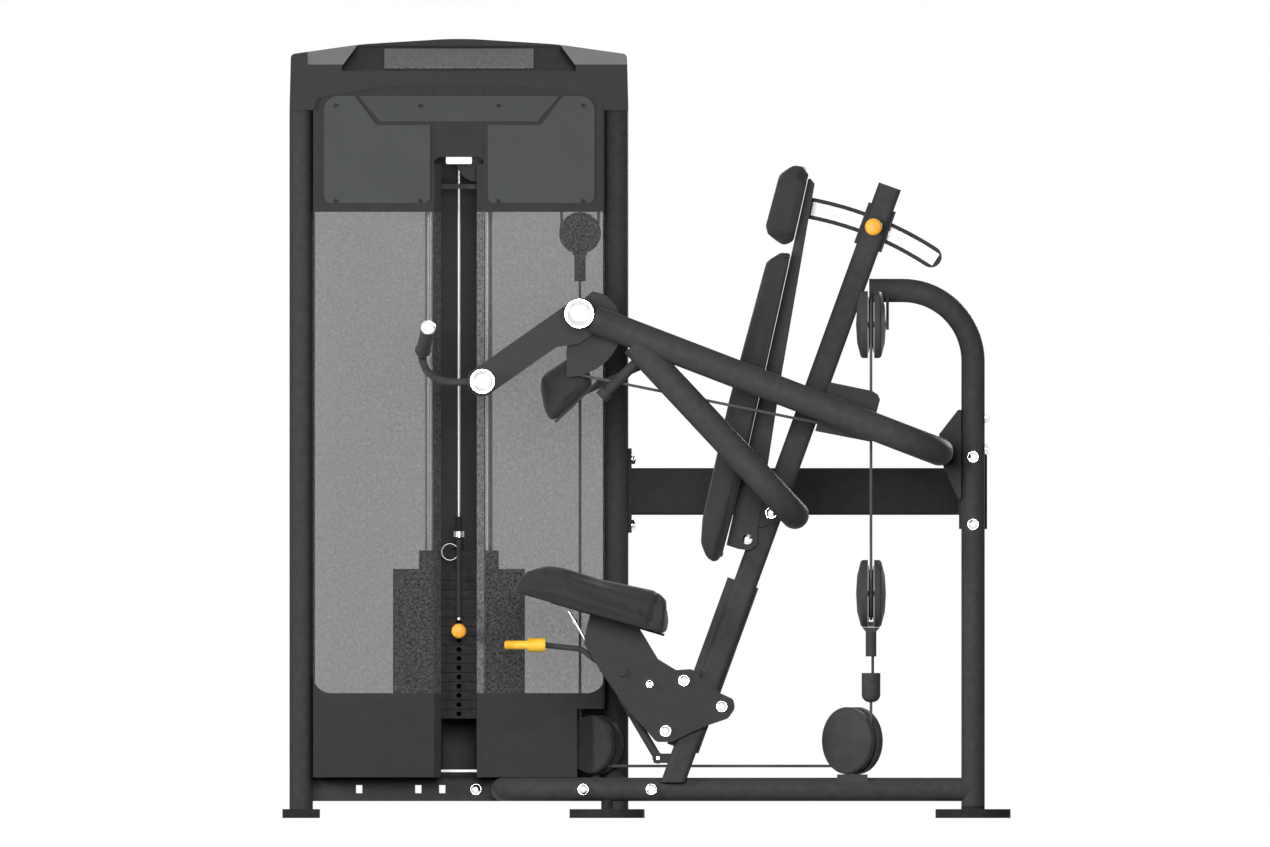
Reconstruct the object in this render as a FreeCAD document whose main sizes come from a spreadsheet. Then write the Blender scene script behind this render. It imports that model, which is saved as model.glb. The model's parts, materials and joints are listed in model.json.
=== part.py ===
# Seated biceps curl machine with a weight tower beside the seat frame.
# Lengths are in millimetres. X runs from the user's knees (low) to the back (high), Y from the
# open side (low) to the weight tower (high), Z is up, and the origin is on the floor under the middle.
import FreeCAD, Part
import math
import os
import re
import Sketcher

doc = FreeCAD.newDocument("biceps_curl_machine")
sheet = doc.addObject("Spreadsheet::Sheet", "dims")
Vec = FreeCAD.Vector

SIZES = {
    # where the two halves of the machine stand
    "tower_x": -399.5, "tower_y": 427.5, "seat_y": -172.5,
    # weight tower
    "tower_width": 722, "tower_depth": 220, "post_width": 50, "post_depth": 100, "post_wall": 3,
    "crown_base": 1508, "crown_end_rise": 119, "crown_rise": 153, "crown_front_rise": 97,
    "crown_wall": 5, "crown_proud": 8, "recess_depth": 14, "arch_rise": 52,
    "bar_size": 50, "bar_base": 36, "bar_wall": 3,
    "foot_height": 19, "foot_size": 80, "foot_length": 200, "round_foot": 160,
    "sheet_wall": 3, "slot_width": 106, "slot_drop": 100, "lip_round": 15, "lip_depth": 12,
    "shroud_base": 87, "window_base": 266, "window_drop": 217, "window_round": 38,
    "placard_wall": 3, "placard_gap": 19, "placard_rise": 30, "header_drop": 24,
    "header_gap": 8, "lip_lean": 15,
    # weight stack
    "stack_y": 397.5, "plate_length": 281, "plate_depth": 110, "plate_pitch": 19.6,
    "stack_base": 212, "resting_count": 9, "lifted_count": 7,
    "rod_spacing": 120, "rod_size": 25, "rod_play": 1.5, "stem_size": 25, "pin_size": 10,
    "pin_play": 0.5, "shelf_top": 103, "shelf_wall": 5, "rod_plate_drop": 158, "beam_drop": 3,
    "head_length": 170, "head_height": 44.4, "head_depth": 60, "knob_size": 32, "knob_length": 28,
    # pulleys and cable
    "cable_size": 6, "big_groove": 54, "big_wheel": 60, "cover_size": 143, "wheel_width": 12,
    "dome_rise": 10, "cover_wall": 15.5, "small_groove": 39, "small_wheel": 44.5, "low_groove": 46,
    "low_wheel": 52, "low_cover": 124, "axle_size": 12, "groove_play": 0.4, "tower_line_x": -141.6,
    "seat_line_x": 478.2, "pulley_drop": 108, "floor_line_z": 110.8, "float_drop": 262,
    "box_pulley_z": 866.5, "box_offset": 206, "top_pulley_z": 1051, "floating_z": 478.2,
    # seat frame
    "tube_size": 50, "column_depth": 80, "column_foot_x": 60.1, "column_tilt": 20,
    "column_length": 1333, "tube_wall": 3, "rail_start_x": -180, "upright_x": 695.5,
    "middle_foot_x": -84, "link_x": -305.7, "link_bend": 120,
    "upright_top": 1123.6, "upright_bend": 150, "beam_height": 100, "beam_base": 645.5,
    "beam_bend": 122, "flange_wall": 7,
    # curl arms
    "hub_x": -143.3, "hub_z": 1074.6, "leg_offset": 310, "arm_tube": 60, "arm_tilt": 21,
    "arm_gap": 72.3, "arm_bend": 110, "brace_x": 315.9, "brace_z": 645.4, "brace_tilt": 47,
    "brace_length": 500, "housing_size": 64, "housing_length": 70, "cap_size": 61, "cap_length": 20,
    "shaft_size": 30, "bush_wall": 6, "lever_offset": 267, "lever_wall": 10, "lever_width": 62,
    "stop_x": 59, "stop_drop": 167, "stop_tilt": 45, "stop_size": 22, "stop_length": 112,
    "elbow_offset": 160, "elbow_width": 120, "lever_reach": 251.9, "lever_drop": 35,
    "cam_offset": 244, "cam_wall": 20, "cheek_wall": 3, "cam_small": 68, "cam_large": 128,
    "cam_turn": 115, "grip_size": 30, "grip_rod": 16, "swivel_size": 51, "swivel_pin": 24,
    # seat and backrest
    "strip_wall": 15, "seat_plate_wall": 6, "seat_plate_offset": 48, "seat_width": 350,
    "carriage_x": 37.3, "carriage_z": 185.3, "carriage_size": 100, "strut_size": 18,
    "strut_rod": 8, "eye_size": 24, "lever_rod": 12, "pivot_x": 214.7, "pivot_z": 593.4,
    "quadrant_size": 718, "quadrant_width": 46, "quadrant_wall": 6, "quadrant_end": 33,
    "quadrant_pitch": 2.5, "lock_lean": 2, "scale_wall": 1, "back_width": 290,
    "head_pad_width": 230, "back_plate_offset": 48, "back_plate_wall": 5, "lock_size": 10,
    "lock_knob": 37, "play": 0.4, "bolt_size": 23, "bolt_height": 7, "cut_over": 10,
}
# sizes that follow from others, so that the tower and the arm frame grow as one
FOLLOWS = {
    "crown_end_top": "crown_base + crown_end_rise", "crown_top": "crown_base + crown_rise",
    "crown_front_top": "crown_base + crown_front_rise", "slot_top": "crown_base - slot_drop",
    "window_top": "crown_base - window_drop", "rod_plate_top": "crown_base - rod_plate_drop",
    "beam_top": "crown_base - beam_drop", "tower_pulley_z": "crown_base - pulley_drop",
    "float_z": "crown_base - float_drop", "arm_reach": "(upright_x - arm_gap - hub_x) / cos(arm_tilt)",
}
for row, (alias, size) in enumerate(list(SIZES.items()) + list(FOLLOWS.items()), start=1):
    sheet.set("A%d" % row, alias)
    sheet.set("B%d" % row, "=" + size if alias in FOLLOWS else str(size))
    sheet.setAlias("B%d" % row, alias)
doc.recompute()

parts = []
made = {"count": 0}


# the text with each size's name turned into a reference to the sheet
def ex(text):
    def named(match):
        word = match.group(0)
        return "dims." + word if word in SIZES or word in FOLLOWS else word

    return re.sub(r"[a-z][a-z_]+", named, str(text))


def num(text):
    found = sheet.evalExpression(ex(text))
    return float(getattr(found, "Value", found))


def fresh(stem):
    made["count"] += 1
    return "%s_%d" % (stem, made["count"])


def bind(obj, prop, text):
    obj.setExpression(prop, ex(text))


# puts an object at a point given as three texts, turned about an axis by an angle text
def place(obj, at, axis=None, angle=None):
    turn = FreeCAD.Rotation()
    if axis is not None:
        turn = FreeCAD.Rotation(axis, num(angle))
    obj.Placement = FreeCAD.Placement(Vec(num(at[0]), num(at[1]), num(at[2])), turn)
    for letter, text in zip("xyz", at):
        bind(obj, "Placement.Base." + letter, text)
    return obj


def box(x0, x1, y0, y1, z0, z1):
    obj = doc.addObject("Part::Box", fresh("block"))
    bind(obj, "Length", "(%s) - (%s)" % (x1, x0))
    bind(obj, "Width", "(%s) - (%s)" % (y1, y0))
    bind(obj, "Height", "(%s) - (%s)" % (z1, z0))
    return place(obj, (x0, y0, z0))


AXES = {"X": (Vec(0, 1, 0), 90), "Y": (Vec(1, 0, 0), -90), "Z": (Vec(0, 0, 1), 0)}


# A cylinder of a diameter and length that starts at a point and runs along +X, +Y or +Z
def rod(size, length, at, axis="Z"):
    obj = doc.addObject("Part::Cylinder", fresh("rod"))
    bind(obj, "Radius", "(%s) / 2" % size)
    bind(obj, "Height", length)
    turn, angle = AXES[axis]
    return place(obj, at, turn, angle)


def tube(size, bore, length, at, axis="Z"):
    inner = rod(bore, length, at, axis)
    return cut(rod(size, length, at, axis), inner)


def cut(base, *tools):
    obj = doc.addObject("Part::Cut", fresh("cut"))
    obj.Base = base
    obj.Tool = tools[0] if len(tools) == 1 else compound(*tools)
    return obj


def common(base, tool):
    obj = doc.addObject("Part::Common", fresh("common"))
    obj.Base = base
    obj.Tool = tool
    return obj


def fuse(*items):
    obj = doc.addObject("Part::MultiFuse", fresh("joined"))
    obj.Shapes = list(items)
    return obj


def compound(*items):
    obj = doc.addObject("Part::Compound", fresh("group"))
    obj.Links = list(items)
    return obj


def originPlane(body, role):
    return [f for f in body.Origin.OriginFeatures if f.Role == role][0]


def newSketch(body, role):
    sketch = body.newObject("Sketcher::SketchObject", fresh("sketch"))
    sketch.AttachmentSupport = [(originPlane(body, role), "")]
    sketch.MapMode = "FlatFace"
    return sketch


# ties a point of the sketch to two size texts, measured from the sketch's origin
def pin(sketch, geo, end, u, v):
    for kind, text in (("DistanceX", u), ("DistanceY", v)):
        index = sketch.addConstraint(Sketcher.Constraint(kind, -1, 1, geo, end, num(text)))
        sketch.setExpression("Constraints[%d]" % index, ex(text))


# draws lines through the points. A point's third text is the radius of its round corner
def outline(sketch, points, closed=True):
    flat = [Vec(num(p[0]), num(p[1]), 0) for p in points]
    count = len(points)
    corners = {}
    for i, p in enumerate(points):
        if len(p) < 3 or (not closed and i in (0, count - 1)):
            continue
        here = flat[i]
        before = (flat[i - 1] - here).normalize()
        after = (flat[(i + 1) % count] - here).normalize()
        half = before.getAngle(after) / 2
        radius = num(p[2])
        reach = radius / math.tan(half)
        centre = here + (before + after).normalize() * (radius / math.sin(half))
        start, end = here + before * reach, here + after * reach
        mid = centre + (here - centre).normalize() * radius
        corners[i] = (start, mid, end, radius, p[2])
    spans = count if closed else count - 1
    lines = []
    for i in range(spans):
        j = (i + 1) % count
        start = corners[i][2] if i in corners else flat[i]
        end = corners[j][0] if j in corners else flat[j]
        lines.append(sketch.addGeometry(Part.LineSegment(start, end)))
    for i in range(count):
        before = lines[i - 1] if (closed or i > 0) else None
        after = lines[i] if i < spans else None
        if i not in corners:
            geo, end = (after, 1) if after is not None else (before, 2)
            pin(sketch, geo, end, points[i][0], points[i][1])
            if before is not None and after is not None:
                sketch.addConstraint(Sketcher.Constraint("Coincident", before, 2, after, 1))
            continue
        start, mid, end, radius, text = corners[i]
        arc = sketch.addGeometry(Part.Arc(start, mid, end))
        ends = (1, 2) if sketch.getPoint(arc, 1).distanceToPoint(start) < radius * 1e-3 else (2, 1)
        sketch.addConstraint(Sketcher.Constraint("Tangent", before, 2, arc, ends[0]))
        sketch.addConstraint(Sketcher.Constraint("Tangent", after, 1, arc, ends[1]))
        index = sketch.addConstraint(Sketcher.Constraint("Radius", arc, radius))
        sketch.setExpression("Constraints[%d]" % index, ex(text))
        corner = sketch.addGeometry(Part.Point(flat[i]), True)
        sketch.addConstraint(Sketcher.Constraint("PointOnObject", corner, 1, before))
        sketch.addConstraint(Sketcher.Constraint("PointOnObject", corner, 1, after))
        pin(sketch, corner, 1, points[i][0], points[i][1])


def circle(sketch, u, v, size):
    geo = sketch.addGeometry(Part.Circle(Vec(num(u), num(v), 0), Vec(0, 0, 1), num(size) / 2))
    pin(sketch, geo, 3, u, v)
    index = sketch.addConstraint(Sketcher.Constraint("Radius", geo, num(size) / 2))
    sketch.setExpression("Constraints[%d]" % index, ex("(%s) / 2" % size))


# A flat shape of even thickness, centred on its plane or standing on it
def prism(points, thickness, at=("0", "0", "0"), plane="XZ", holes=(), rings=(), turn=None, middle=True):
    body = doc.addObject("PartDesign::Body", fresh("body"))
    sketch = newSketch(body, plane + "_Plane")
    outline(sketch, points)
    for ring in rings:
        outline(sketch, ring)
    for u, v, size in holes:
        circle(sketch, u, v, size)
    pad = body.newObject("PartDesign::Pad", fresh("pad"))
    pad.Profile = sketch
    bind(pad, "Length", thickness)
    pad.Midplane = middle
    if turn:
        return place(body, at, turn[0], turn[1])
    return place(body, at)


def rect(u0, u1, v0, v1, r=None):
    corner = () if r is None else (r,)
    return [(u0, v0) + corner, (u1, v0) + corner, (u1, v1) + corner, (u0, v1) + corner]


# A hollow tube along a flat path that leaves its body's origin along the body's own +X
def bentTube(points, size, wall, at, turn=None, square=None):
    body = doc.addObject("PartDesign::Body", fresh("body"))
    path = newSketch(body, "XY_Plane")
    outline(path, points, closed=False)
    section = newSketch(body, "YZ_Plane")
    if square:
        width, height, r = square
        outline(section, rect("-(%s) / 2" % width, "(%s) / 2" % width, "-(%s) / 2" % height,
                              "(%s) / 2" % height, r))
        outline(section, rect("-(%s) / 2 + %s" % (width, wall), "(%s) / 2 - %s" % (width, wall),
                              "-(%s) / 2 + %s" % (height, wall), "(%s) / 2 - %s" % (height, wall)))
    else:
        circle(section, "0", "0", size)
        circle(section, "0", "0", "%s - 2 * %s" % (size, wall))
    doc.recompute()
    pipe = body.newObject("PartDesign::AdditivePipe", fresh("pipe"))
    pipe.Profile = section
    pipe.Spine = (path, ["Edge%d" % (i + 1) for i in range(len(path.Shape.Edges))])
    if turn:
        return place(body, at, turn[0], turn[1])
    return place(body, at)


def part(label, obj):
    obj.Label = label
    parts.append(obj)
    return obj


def feature(label, shape):
    obj = doc.addObject("Part::Feature", fresh("solid"))
    obj.Shape = shape
    return part(label, obj) if label else obj


# Weight tower: posts, bars, feet and guide rods
LEFT = "tower_x - tower_width / 2"
RIGHT = "tower_x + tower_width / 2"
INNER_LEFT = "tower_x - tower_width / 2 + post_width"
INNER_RIGHT = "tower_x + tower_width / 2 - post_width"
FRONT = "tower_y - tower_depth / 2"
BACK = "tower_y + tower_depth / 2"


def towerPost(x0):
    side, deep = "post_width / 2", "post_depth / 2"
    wall = "post_wall"
    outer = rect("-" + side, side, "-" + deep, deep, "post_width * 0.48")
    bore = rect("-%s + %s" % (side, wall), "%s - %s" % (side, wall), "-%s + %s" % (deep, wall),
                "%s - %s" % (deep, wall), "post_width * 0.4")
    return prism(outer, "crown_base - foot_height", (x0 + " + post_width / 2", "tower_y", "foot_height"),
                 "XY", rings=[bore], middle=False)


part("tower_posts", compound(towerPost(LEFT), towerPost(INNER_RIGHT)))


def towerBars():
    barTop = "bar_base + bar_size"
    y0, y1 = "tower_y - bar_size / 2", "tower_y + bar_size / 2"
    slots = [box("tower_x - %s" % near, "tower_x - %s" % far, FRONT, BACK,
                 "bar_base + bar_size * 0.34", "bar_base + bar_size * 0.68")
             for near, far in (("bar_size * 4.38", "bar_size * 4.12"), ("bar_size * 1.86", "bar_size * 1.6"),
                               ("bar_size * 0.84", "bar_size * 0.58"))]
    hollow = box(INNER_LEFT + " - cut_over", INNER_RIGHT + " + cut_over", y0 + " + bar_wall",
                 y1 + " - bar_wall", "bar_base + bar_wall", barTop + " - bar_wall")
    base = cut(box(INNER_LEFT, INNER_RIGHT, y0, y1, "bar_base", barTop), hollow, *slots)
    beam = box(INNER_LEFT, INNER_RIGHT, y0, y1, "beam_top - bar_size", "beam_top")
    shelf = box("tower_x - rod_spacing", "tower_x + rod_spacing * 0.9", "stack_y - plate_depth / 2", y1,
                "shelf_top - shelf_wall", "shelf_top")
    legs = [box("tower_x %s rod_spacing * 0.7 - shelf_wall" % s, "tower_x %s rod_spacing * 0.7 + shelf_wall" % s,
                y0, y1, barTop, "shelf_top - shelf_wall")
            for s in "-+"]
    rodX = ["tower_x - rod_spacing / 2", "tower_x + rod_spacing / 2"]
    rods = [rod("rod_size", "rod_plate_top - shelf_top", (x, "stack_y", "shelf_top")) for x in rodX]
    low = "rod_plate_top - 2 * shelf_wall"
    holes = [rod("rod_size", "4 * shelf_wall", (x, "stack_y", low)) for x in rodX]
    holes.append(rod("4 * cable_size", "4 * shelf_wall", ("tower_x", "stack_y", low)))
    holes.append(box("tower_line_x - small_groove - 2 * cable_size", "tower_line_x + small_groove + cable_size",
                     "stack_y - 2 * cable_size", "stack_y + 2 * cable_size", low, "rod_plate_top"))
    corners = ((INNER_LEFT, INNER_LEFT + " + shelf_wall"), (INNER_RIGHT + " - shelf_wall", INNER_RIGHT))
    holes += [box(x0, x1, "stack_y - bar_size", "tower_y - post_depth / 4 + play", low, "rod_plate_top")
              for x0, x1 in corners]
    topPlate = cut(box(INNER_LEFT, INNER_RIGHT, "stack_y - bar_size / 2", "stack_y + bar_size / 2", low,
                       "rod_plate_top"), *holes)
    return compound(base, beam, shelf, topPlate, *(legs + rods))


# A pair of straps from the top beam to a tower pulley's axle, with the axle
def pulleyHanger(x):
    half = "wheel_width / 2"
    straps = [box("%s - bar_size / 3" % x, "%s + bar_size / 3" % x, "stack_y %s %s" % near, "stack_y %s %s" % far,
                  "tower_pulley_z - axle_size", "beam_top - bar_size")
              for near, far in ((("-", half + " - shelf_wall"), ("-", half + " - play")),
                                (("+", half + " + play"), ("+", half + " + shelf_wall")))]
    axle = rod("axle_size", "wheel_width + 3 * shelf_wall", (x, "stack_y - %s - 1.5 * shelf_wall" % half,
                                                              "tower_pulley_z"), "Y")
    return cut(straps[0], axle), cut(straps[1], axle), axle


FIRST_X = "tower_x + small_groove"
SECOND_X = "tower_line_x - 2 * small_groove"
part("tower_inner_frame", compound(towerBars(), *(pulleyHanger(FIRST_X) + pulleyHanger(SECOND_X))))


# Shroud: two folded sheet halves whose middle band is a perforated panel, and a plain rear sheet
# one folded half seen from above: a flange at the post, the face, and a lip into the slot
def shroudHalf(side):
    edge = "tower_width / 2 - post_width - play"
    slot = "slot_width / 2"
    face, wall = FRONT, "sheet_wall"
    deep = FRONT + " + lip_depth"
    flange = "tower_y - post_depth / 4"
    at = "tower_x %s" % side

    def p(x, y, r=None):
        point = ("%s (%s)" % (at, x), y)
        return point if r is None else point + (r,)

    points = [p(edge, flange), p(edge, face, "lip_round / 3"), p(slot, face, "lip_round / 3"),
              p(slot + " - lip_lean", deep), p(slot + " - lip_lean + 2 * " + wall, deep),
              p(slot + " + " + wall, face + " + " + wall), p(edge + " - " + wall, face + " + " + wall),
              p(edge + " - " + wall, flange)]
    if side == "-":
        points.reverse()
    height = "crown_base + arch_rise + crown_wall - shroud_base"
    low = ("0", "0", "shroud_base")
    return prism(points, height, low, "XY", middle=False)


def windowTool(side):
    edge = "tower_x %s (tower_width / 2)" % side
    slot = "tower_x"
    points = [(slot, "window_base"), (edge, "window_base"), (edge, "window_top"), (slot, "window_top")]
    inner = "tower_x %s (tower_width / 2 - post_width - play)" % side
    points[1] = (inner, "window_base", "window_round")
    points[2] = (inner, "window_top")
    if side == "-":
        points.reverse()
    return prism(points, "2 * tower_depth", ("0", FRONT, "0"))


halves = {side: (shroudHalf(side), windowTool(side)) for side in "-+"}
lowOpening = box("tower_x + tower_width / 2 - post_width - 1.1 * big_groove", INNER_RIGHT, FRONT + " - cut_over",
                 "tower_y", "shroud_base - cut_over", "shroud_base + 2.7 * big_groove")
slotEnd = prism([("-slot_width / 2", "slot_top - 2 * lip_round"), ("slot_width / 2", "slot_top - 2 * lip_round"),
                 ("slot_width / 2", "slot_top", "lip_round"), ("-slot_width / 2", "slot_top", "lip_round")],
                "6 * sheet_wall", ("tower_x", FRONT, "0"))
header = cut(box("tower_x - slot_width / 2 + play", "tower_x + slot_width / 2 - play", FRONT, FRONT + " + sheet_wall",
                 "slot_top - lip_round * 0.7", "crown_base + arch_rise + crown_wall"), slotEnd)
lipEnds = box("tower_x - slot_width / 2", "tower_x + slot_width / 2", FRONT + " - cut_over",
              FRONT + " + 2 * lip_depth", "slot_top - lip_round", "crown_top")
leftFront = cut(halves["-"][0], halves["-"][1], lipEnds)
rightFront = cut(halves["+"][0], halves["+"][1], lowOpening, lipEnds)
# pale tab behind the header, its rounded end showing at the top of the slot
slotTab = prism([("-slot_width * 0.26", "slot_top - lip_round", "sheet_wall"),
                 ("slot_width * 0.26", "slot_top - lip_round", "sheet_wall"),
                 ("slot_width * 0.26", "slot_top + lip_round"), ("-slot_width * 0.26", "slot_top + lip_round")],
                "sheet_wall", ("tower_x", FRONT + " + 1.5 * sheet_wall", "0"))
part("front_shroud", compound(leftFront, rightFront, header, slotTab))
part("mesh_panels", compound(*[common(*halves[side]) for side in "-+"]))
part("rear_shroud", box(INNER_LEFT + " + play", INNER_RIGHT + " - play", BACK + " - sheet_wall", BACK, "shroud_base",
                        "crown_base"))


# Crown: a hollow cap with an arched, forward sloping top and a recess with an inset
def crown():
    half = "tower_width / 2"
    front, back = FRONT + " - crown_proud", BACK
    low = "crown_base"
    shoulder = "crown_end_top + (crown_top - crown_end_top) * 0.62"
    shell = prism([("-" + half, low), (half, low), (half + " - sheet_wall", "crown_end_top", "cut_over"),
                   ("tower_width * 0.29", shoulder, "tower_width"), ("0", "crown_top", "tower_width"),
                   ("-tower_width * 0.29", shoulder, "tower_width"),
                   ("-%s + sheet_wall" % half, "crown_end_top", "cut_over")],
                  "tower_depth + crown_proud", ("tower_x", "tower_y - crown_proud / 2", "0"))
    wall = "crown_wall"
    hollow = box("tower_x - %s + %s" % (half, wall), "tower_x + %s - %s" % (half, wall), front + " + " + wall,
                 back + " - " + wall, low + " - cut_over", "crown_front_top - recess_depth - 2 * crown_wall")
    arch = prism([("-tower_width * 0.43", "crown_base - cut_over"), ("tower_width * 0.43", "crown_base - cut_over"),
                  ("tower_width * 0.42", "crown_base + arch_rise / 2", "lip_round"),
                  ("tower_width * 0.2", "crown_base + arch_rise", "tower_width / 2"),
                  ("-tower_width * 0.2", "crown_base + arch_rise", "tower_width / 2"),
                  ("-tower_width * 0.42", "crown_base + arch_rise / 2", "lip_round")], "4 * crown_wall",
                 ("tower_x", front, "0"))
    slope = prism([(front + " - cut_over", "crown_front_top - cut_over * 0.25"),
                   (front + " - cut_over", "2 * crown_top"), (back, "2 * crown_top"), (back, "crown_top")],
                  "2 * tower_width", ("0", "0", "0"), "YZ")
    wide, narrow = "tower_width * 0.345", "tower_width * 0.294"
    recessFront = "crown_front_top - cut_over / 3"
    plan = prism([("-" + wide, "crown_front_top - recess_depth * 2"), (wide, "crown_front_top - recess_depth * 2"),
                  (wide, recessFront), (narrow, "crown_top - cut_over"), (narrow, "crown_top + cut_over"),
                  ("-" + narrow, "crown_top + cut_over"), ("-" + narrow, "crown_top - cut_over"),
                  ("-" + wide, recessFront)], "2 * tower_depth", ("tower_x", "tower_y", "0"))
    depth = prism([(front + " - cut_over", "crown_front_top - recess_depth - cut_over * 0.25"),
                   (front + " - cut_over", "2 * crown_top"), (back + " - cut_over", "2 * crown_top"),
                   (back + " - cut_over", "crown_top - recess_depth - cut_over * 0.25")],
                  "2 * tower_width", ("0", "0", "0"), "YZ")
    return cut(shell, hollow, arch, slope, common(plan, depth))


part("crown_cap", crown())

inset = box("-tower_width * 0.22", "tower_width * 0.22", "0", "tower_depth * 0.75", "0", "placard_wall")
slopeAngle = "atan2(crown_top - crown_front_top; tower_depth + crown_proud)"
insetGroup = compound(inset)
place(insetGroup, ("tower_x", FRONT + " + lip_round", "crown_front_top - recess_depth - cut_over * 0.25 + "
                   "(crown_proud + cut_over + lip_round + play) * tan(%s)" % slopeAngle),
      Vec(1, 0, 0), slopeAngle)
placards = [prism([(near, "window_top + placard_gap", "lip_round"), (far, "window_top + placard_gap", "lip_round"),
                   (far, "crown_base + placard_rise", "2 * lip_round"),
                   (upper, "crown_base + placard_rise"), (lower, "crown_base - header_drop - header_gap"),
                   (near, "crown_base - header_drop - header_gap")],
                  "placard_wall", ("tower_x", FRONT + " - placard_wall / 2", "0"))
            for near, far, upper, lower in (
                ("-tower_width * 0.085", "-tower_width * 0.398", "-tower_width * 0.296 - header_gap",
                 "-tower_width * 0.232 - header_gap"),
                ("tower_width * 0.085", "tower_width * 0.4", "tower_width * 0.296 + header_gap",
                 "tower_width * 0.232 + header_gap"))]
band = prism([("-tower_width * 0.232", "crown_base - header_drop"), ("tower_width * 0.232", "crown_base - header_drop"),
              ("tower_width * 0.296", "crown_base + placard_rise"),
              ("-tower_width * 0.296", "crown_base + placard_rise")],
             "placard_wall", ("tower_x", FRONT + " - placard_wall / 2", "0"))
part("placards", compound(*placards, band, insetGroup))


# Weight stack: resting plates, lifted plates, head plate with selector stem, pin and lanyard
PIN_Z = "stack_base + plate_pitch * (resting_count + 0.5)"
bores = [rod("rod_size + 2 * rod_play", "crown_base", (x, "stack_y", "0"))
         for x in ("tower_x - rod_spacing / 2", "tower_x + rod_spacing / 2")]
bores.append(rod("stem_size + 2 * rod_play", "crown_base", ("tower_x", "stack_y", "0")))


def weightPlate(index):
    z = "stack_base + plate_pitch * %d" % index
    hole = rod("pin_size + 2 * pin_play", "plate_depth / 2 + cut_over",
               ("tower_x", "stack_y - plate_depth / 2 - cut_over", z + " + plate_pitch / 2"), "Y")
    plain = box("tower_x - plate_length / 2", "tower_x + plate_length / 2", "stack_y - plate_depth / 2",
                "stack_y + plate_depth / 2", z, z + " + plate_pitch")
    return cut(plain, hole, *bores)


resting, lifted = int(SIZES["resting_count"]), int(SIZES["lifted_count"])
part("resting_plates", compound(*[weightPlate(i) for i in range(resting)]))
part("lifted_plates", compound(*[weightPlate(i) for i in range(resting, resting + lifted)]))
STACK_TOP = "stack_base + plate_pitch * (resting_count + lifted_count)"
HEAD_TOP = STACK_TOP + " + head_height"


def headPlate():
    block = box("tower_x - head_length / 2", "tower_x + head_length / 2", "stack_y - head_depth / 2",
                "stack_y + head_depth / 2", STACK_TOP, HEAD_TOP)
    wide = box("tower_x - plate_length / 2", "tower_x + plate_length / 2", "stack_y - head_depth / 2",
               "stack_y + head_depth / 2", STACK_TOP, STACK_TOP + " + shelf_wall")
    stemHole = rod("stem_size", "crown_base", ("tower_x", "stack_y", "0"))
    head = cut(fuse(block, wide), bores[0], bores[1], stemHole)
    stemBase = "stack_base + plate_pitch / 4"
    stem = rod("stem_size", HEAD_TOP + " - (%s)" % stemBase, ("tower_x", "stack_y", stemBase))
    holes = [rod("pin_size + 2 * pin_play", "2 * stem_size",
                 ("tower_x", "stack_y - stem_size", "stack_base + plate_pitch * %d.5" % i), "Y")
             for i in range(resting + lifted)]
    neck = rod("stem_size + 2 * pin_play", "stem_size * 1.14", ("tower_x", "stack_y", HEAD_TOP))
    nut = rod("stem_size * 0.9", "axle_size", ("tower_x", "stack_y", HEAD_TOP + " + stem_size * 1.14"))
    sleeve = rod("stem_size * 0.7", "stem_size * 1.25",
                 ("tower_x", "stack_y", HEAD_TOP + " + stem_size * 1.14 + axle_size"))
    ringPost = rod("pin_size * 0.8", "plate_depth / 2 + shelf_wall - stem_size * 0.2",
                   ("tower_x - stem_size * 0.46", "stack_y - plate_depth / 2 - shelf_wall", HEAD_TOP + " + pin_size"),
                   "Y")
    return compound(head, cut(stem, *holes), neck, nut, sleeve, cut(ringPost, neck))


part("head_plate", headPlate())
STRAND_BASE = HEAD_TOP + " + stem_size * 2.39 + axle_size"
knobY = FRONT + " - knob_length - lip_round"
part("selector_pin", compound(
    fuse(rod("knob_size", "knob_length", ("tower_x", knobY, PIN_Z), "Y"),
         rod("pin_size", "stack_y + stem_size / 2 - (%s)" % knobY, ("tower_x", knobY, PIN_Z), "Y"))))


# A round bar along edges that follow one another smoothly
def sweep(edges, size):
    wire = Part.Wire(edges)
    start = wire.OrderedEdges[0]
    first = start.valueAt(start.FirstParameter)
    along = start.tangentAt(start.FirstParameter)
    ring = Part.Wire(Part.Circle(first, along, size / 2).toShape())
    return wire.makePipeShell([ring], True, True)


def spot(x, y, z):
    return Vec(num(x), num(y), num(z))


def line(a, b):
    return Part.LineSegment(a, b).toShape()


def arc(a, m, b):
    return Part.Arc(a, m, b).toShape()


# straight runs joined by tangent arcs, each as large as its two runs allow or of a set radius
def route(points, radius=None):
    edges, here = [], points[0]
    for i in range(1, len(points) - 1):
        corner = points[i]
        before, after = points[i - 1] - corner, points[i + 1] - corner
        half = before.getAngle(after) / 2
        shorter = min(before.Length, after.Length)
        r = radius if radius else 0.45 * shorter * math.tan(half)
        reach = r / math.tan(half)
        before.normalize()
        after.normalize()
        start, end = corner + before * reach, corner + after * reach
        centre = corner + (before + after).normalize() * (r / math.sin(half))
        mid = centre + (corner - centre).normalize() * r
        edges += [line(here, start), arc(start, mid, end)]
        here = end
    edges.append(line(here, points[-1]))
    return edges


ringAt = spot("tower_x - stem_size * 0.46", "stack_y - plate_depth / 2 - shelf_wall", HEAD_TOP + " + pin_size")
knobFace = spot("tower_x", knobY, PIN_Z)


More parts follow.
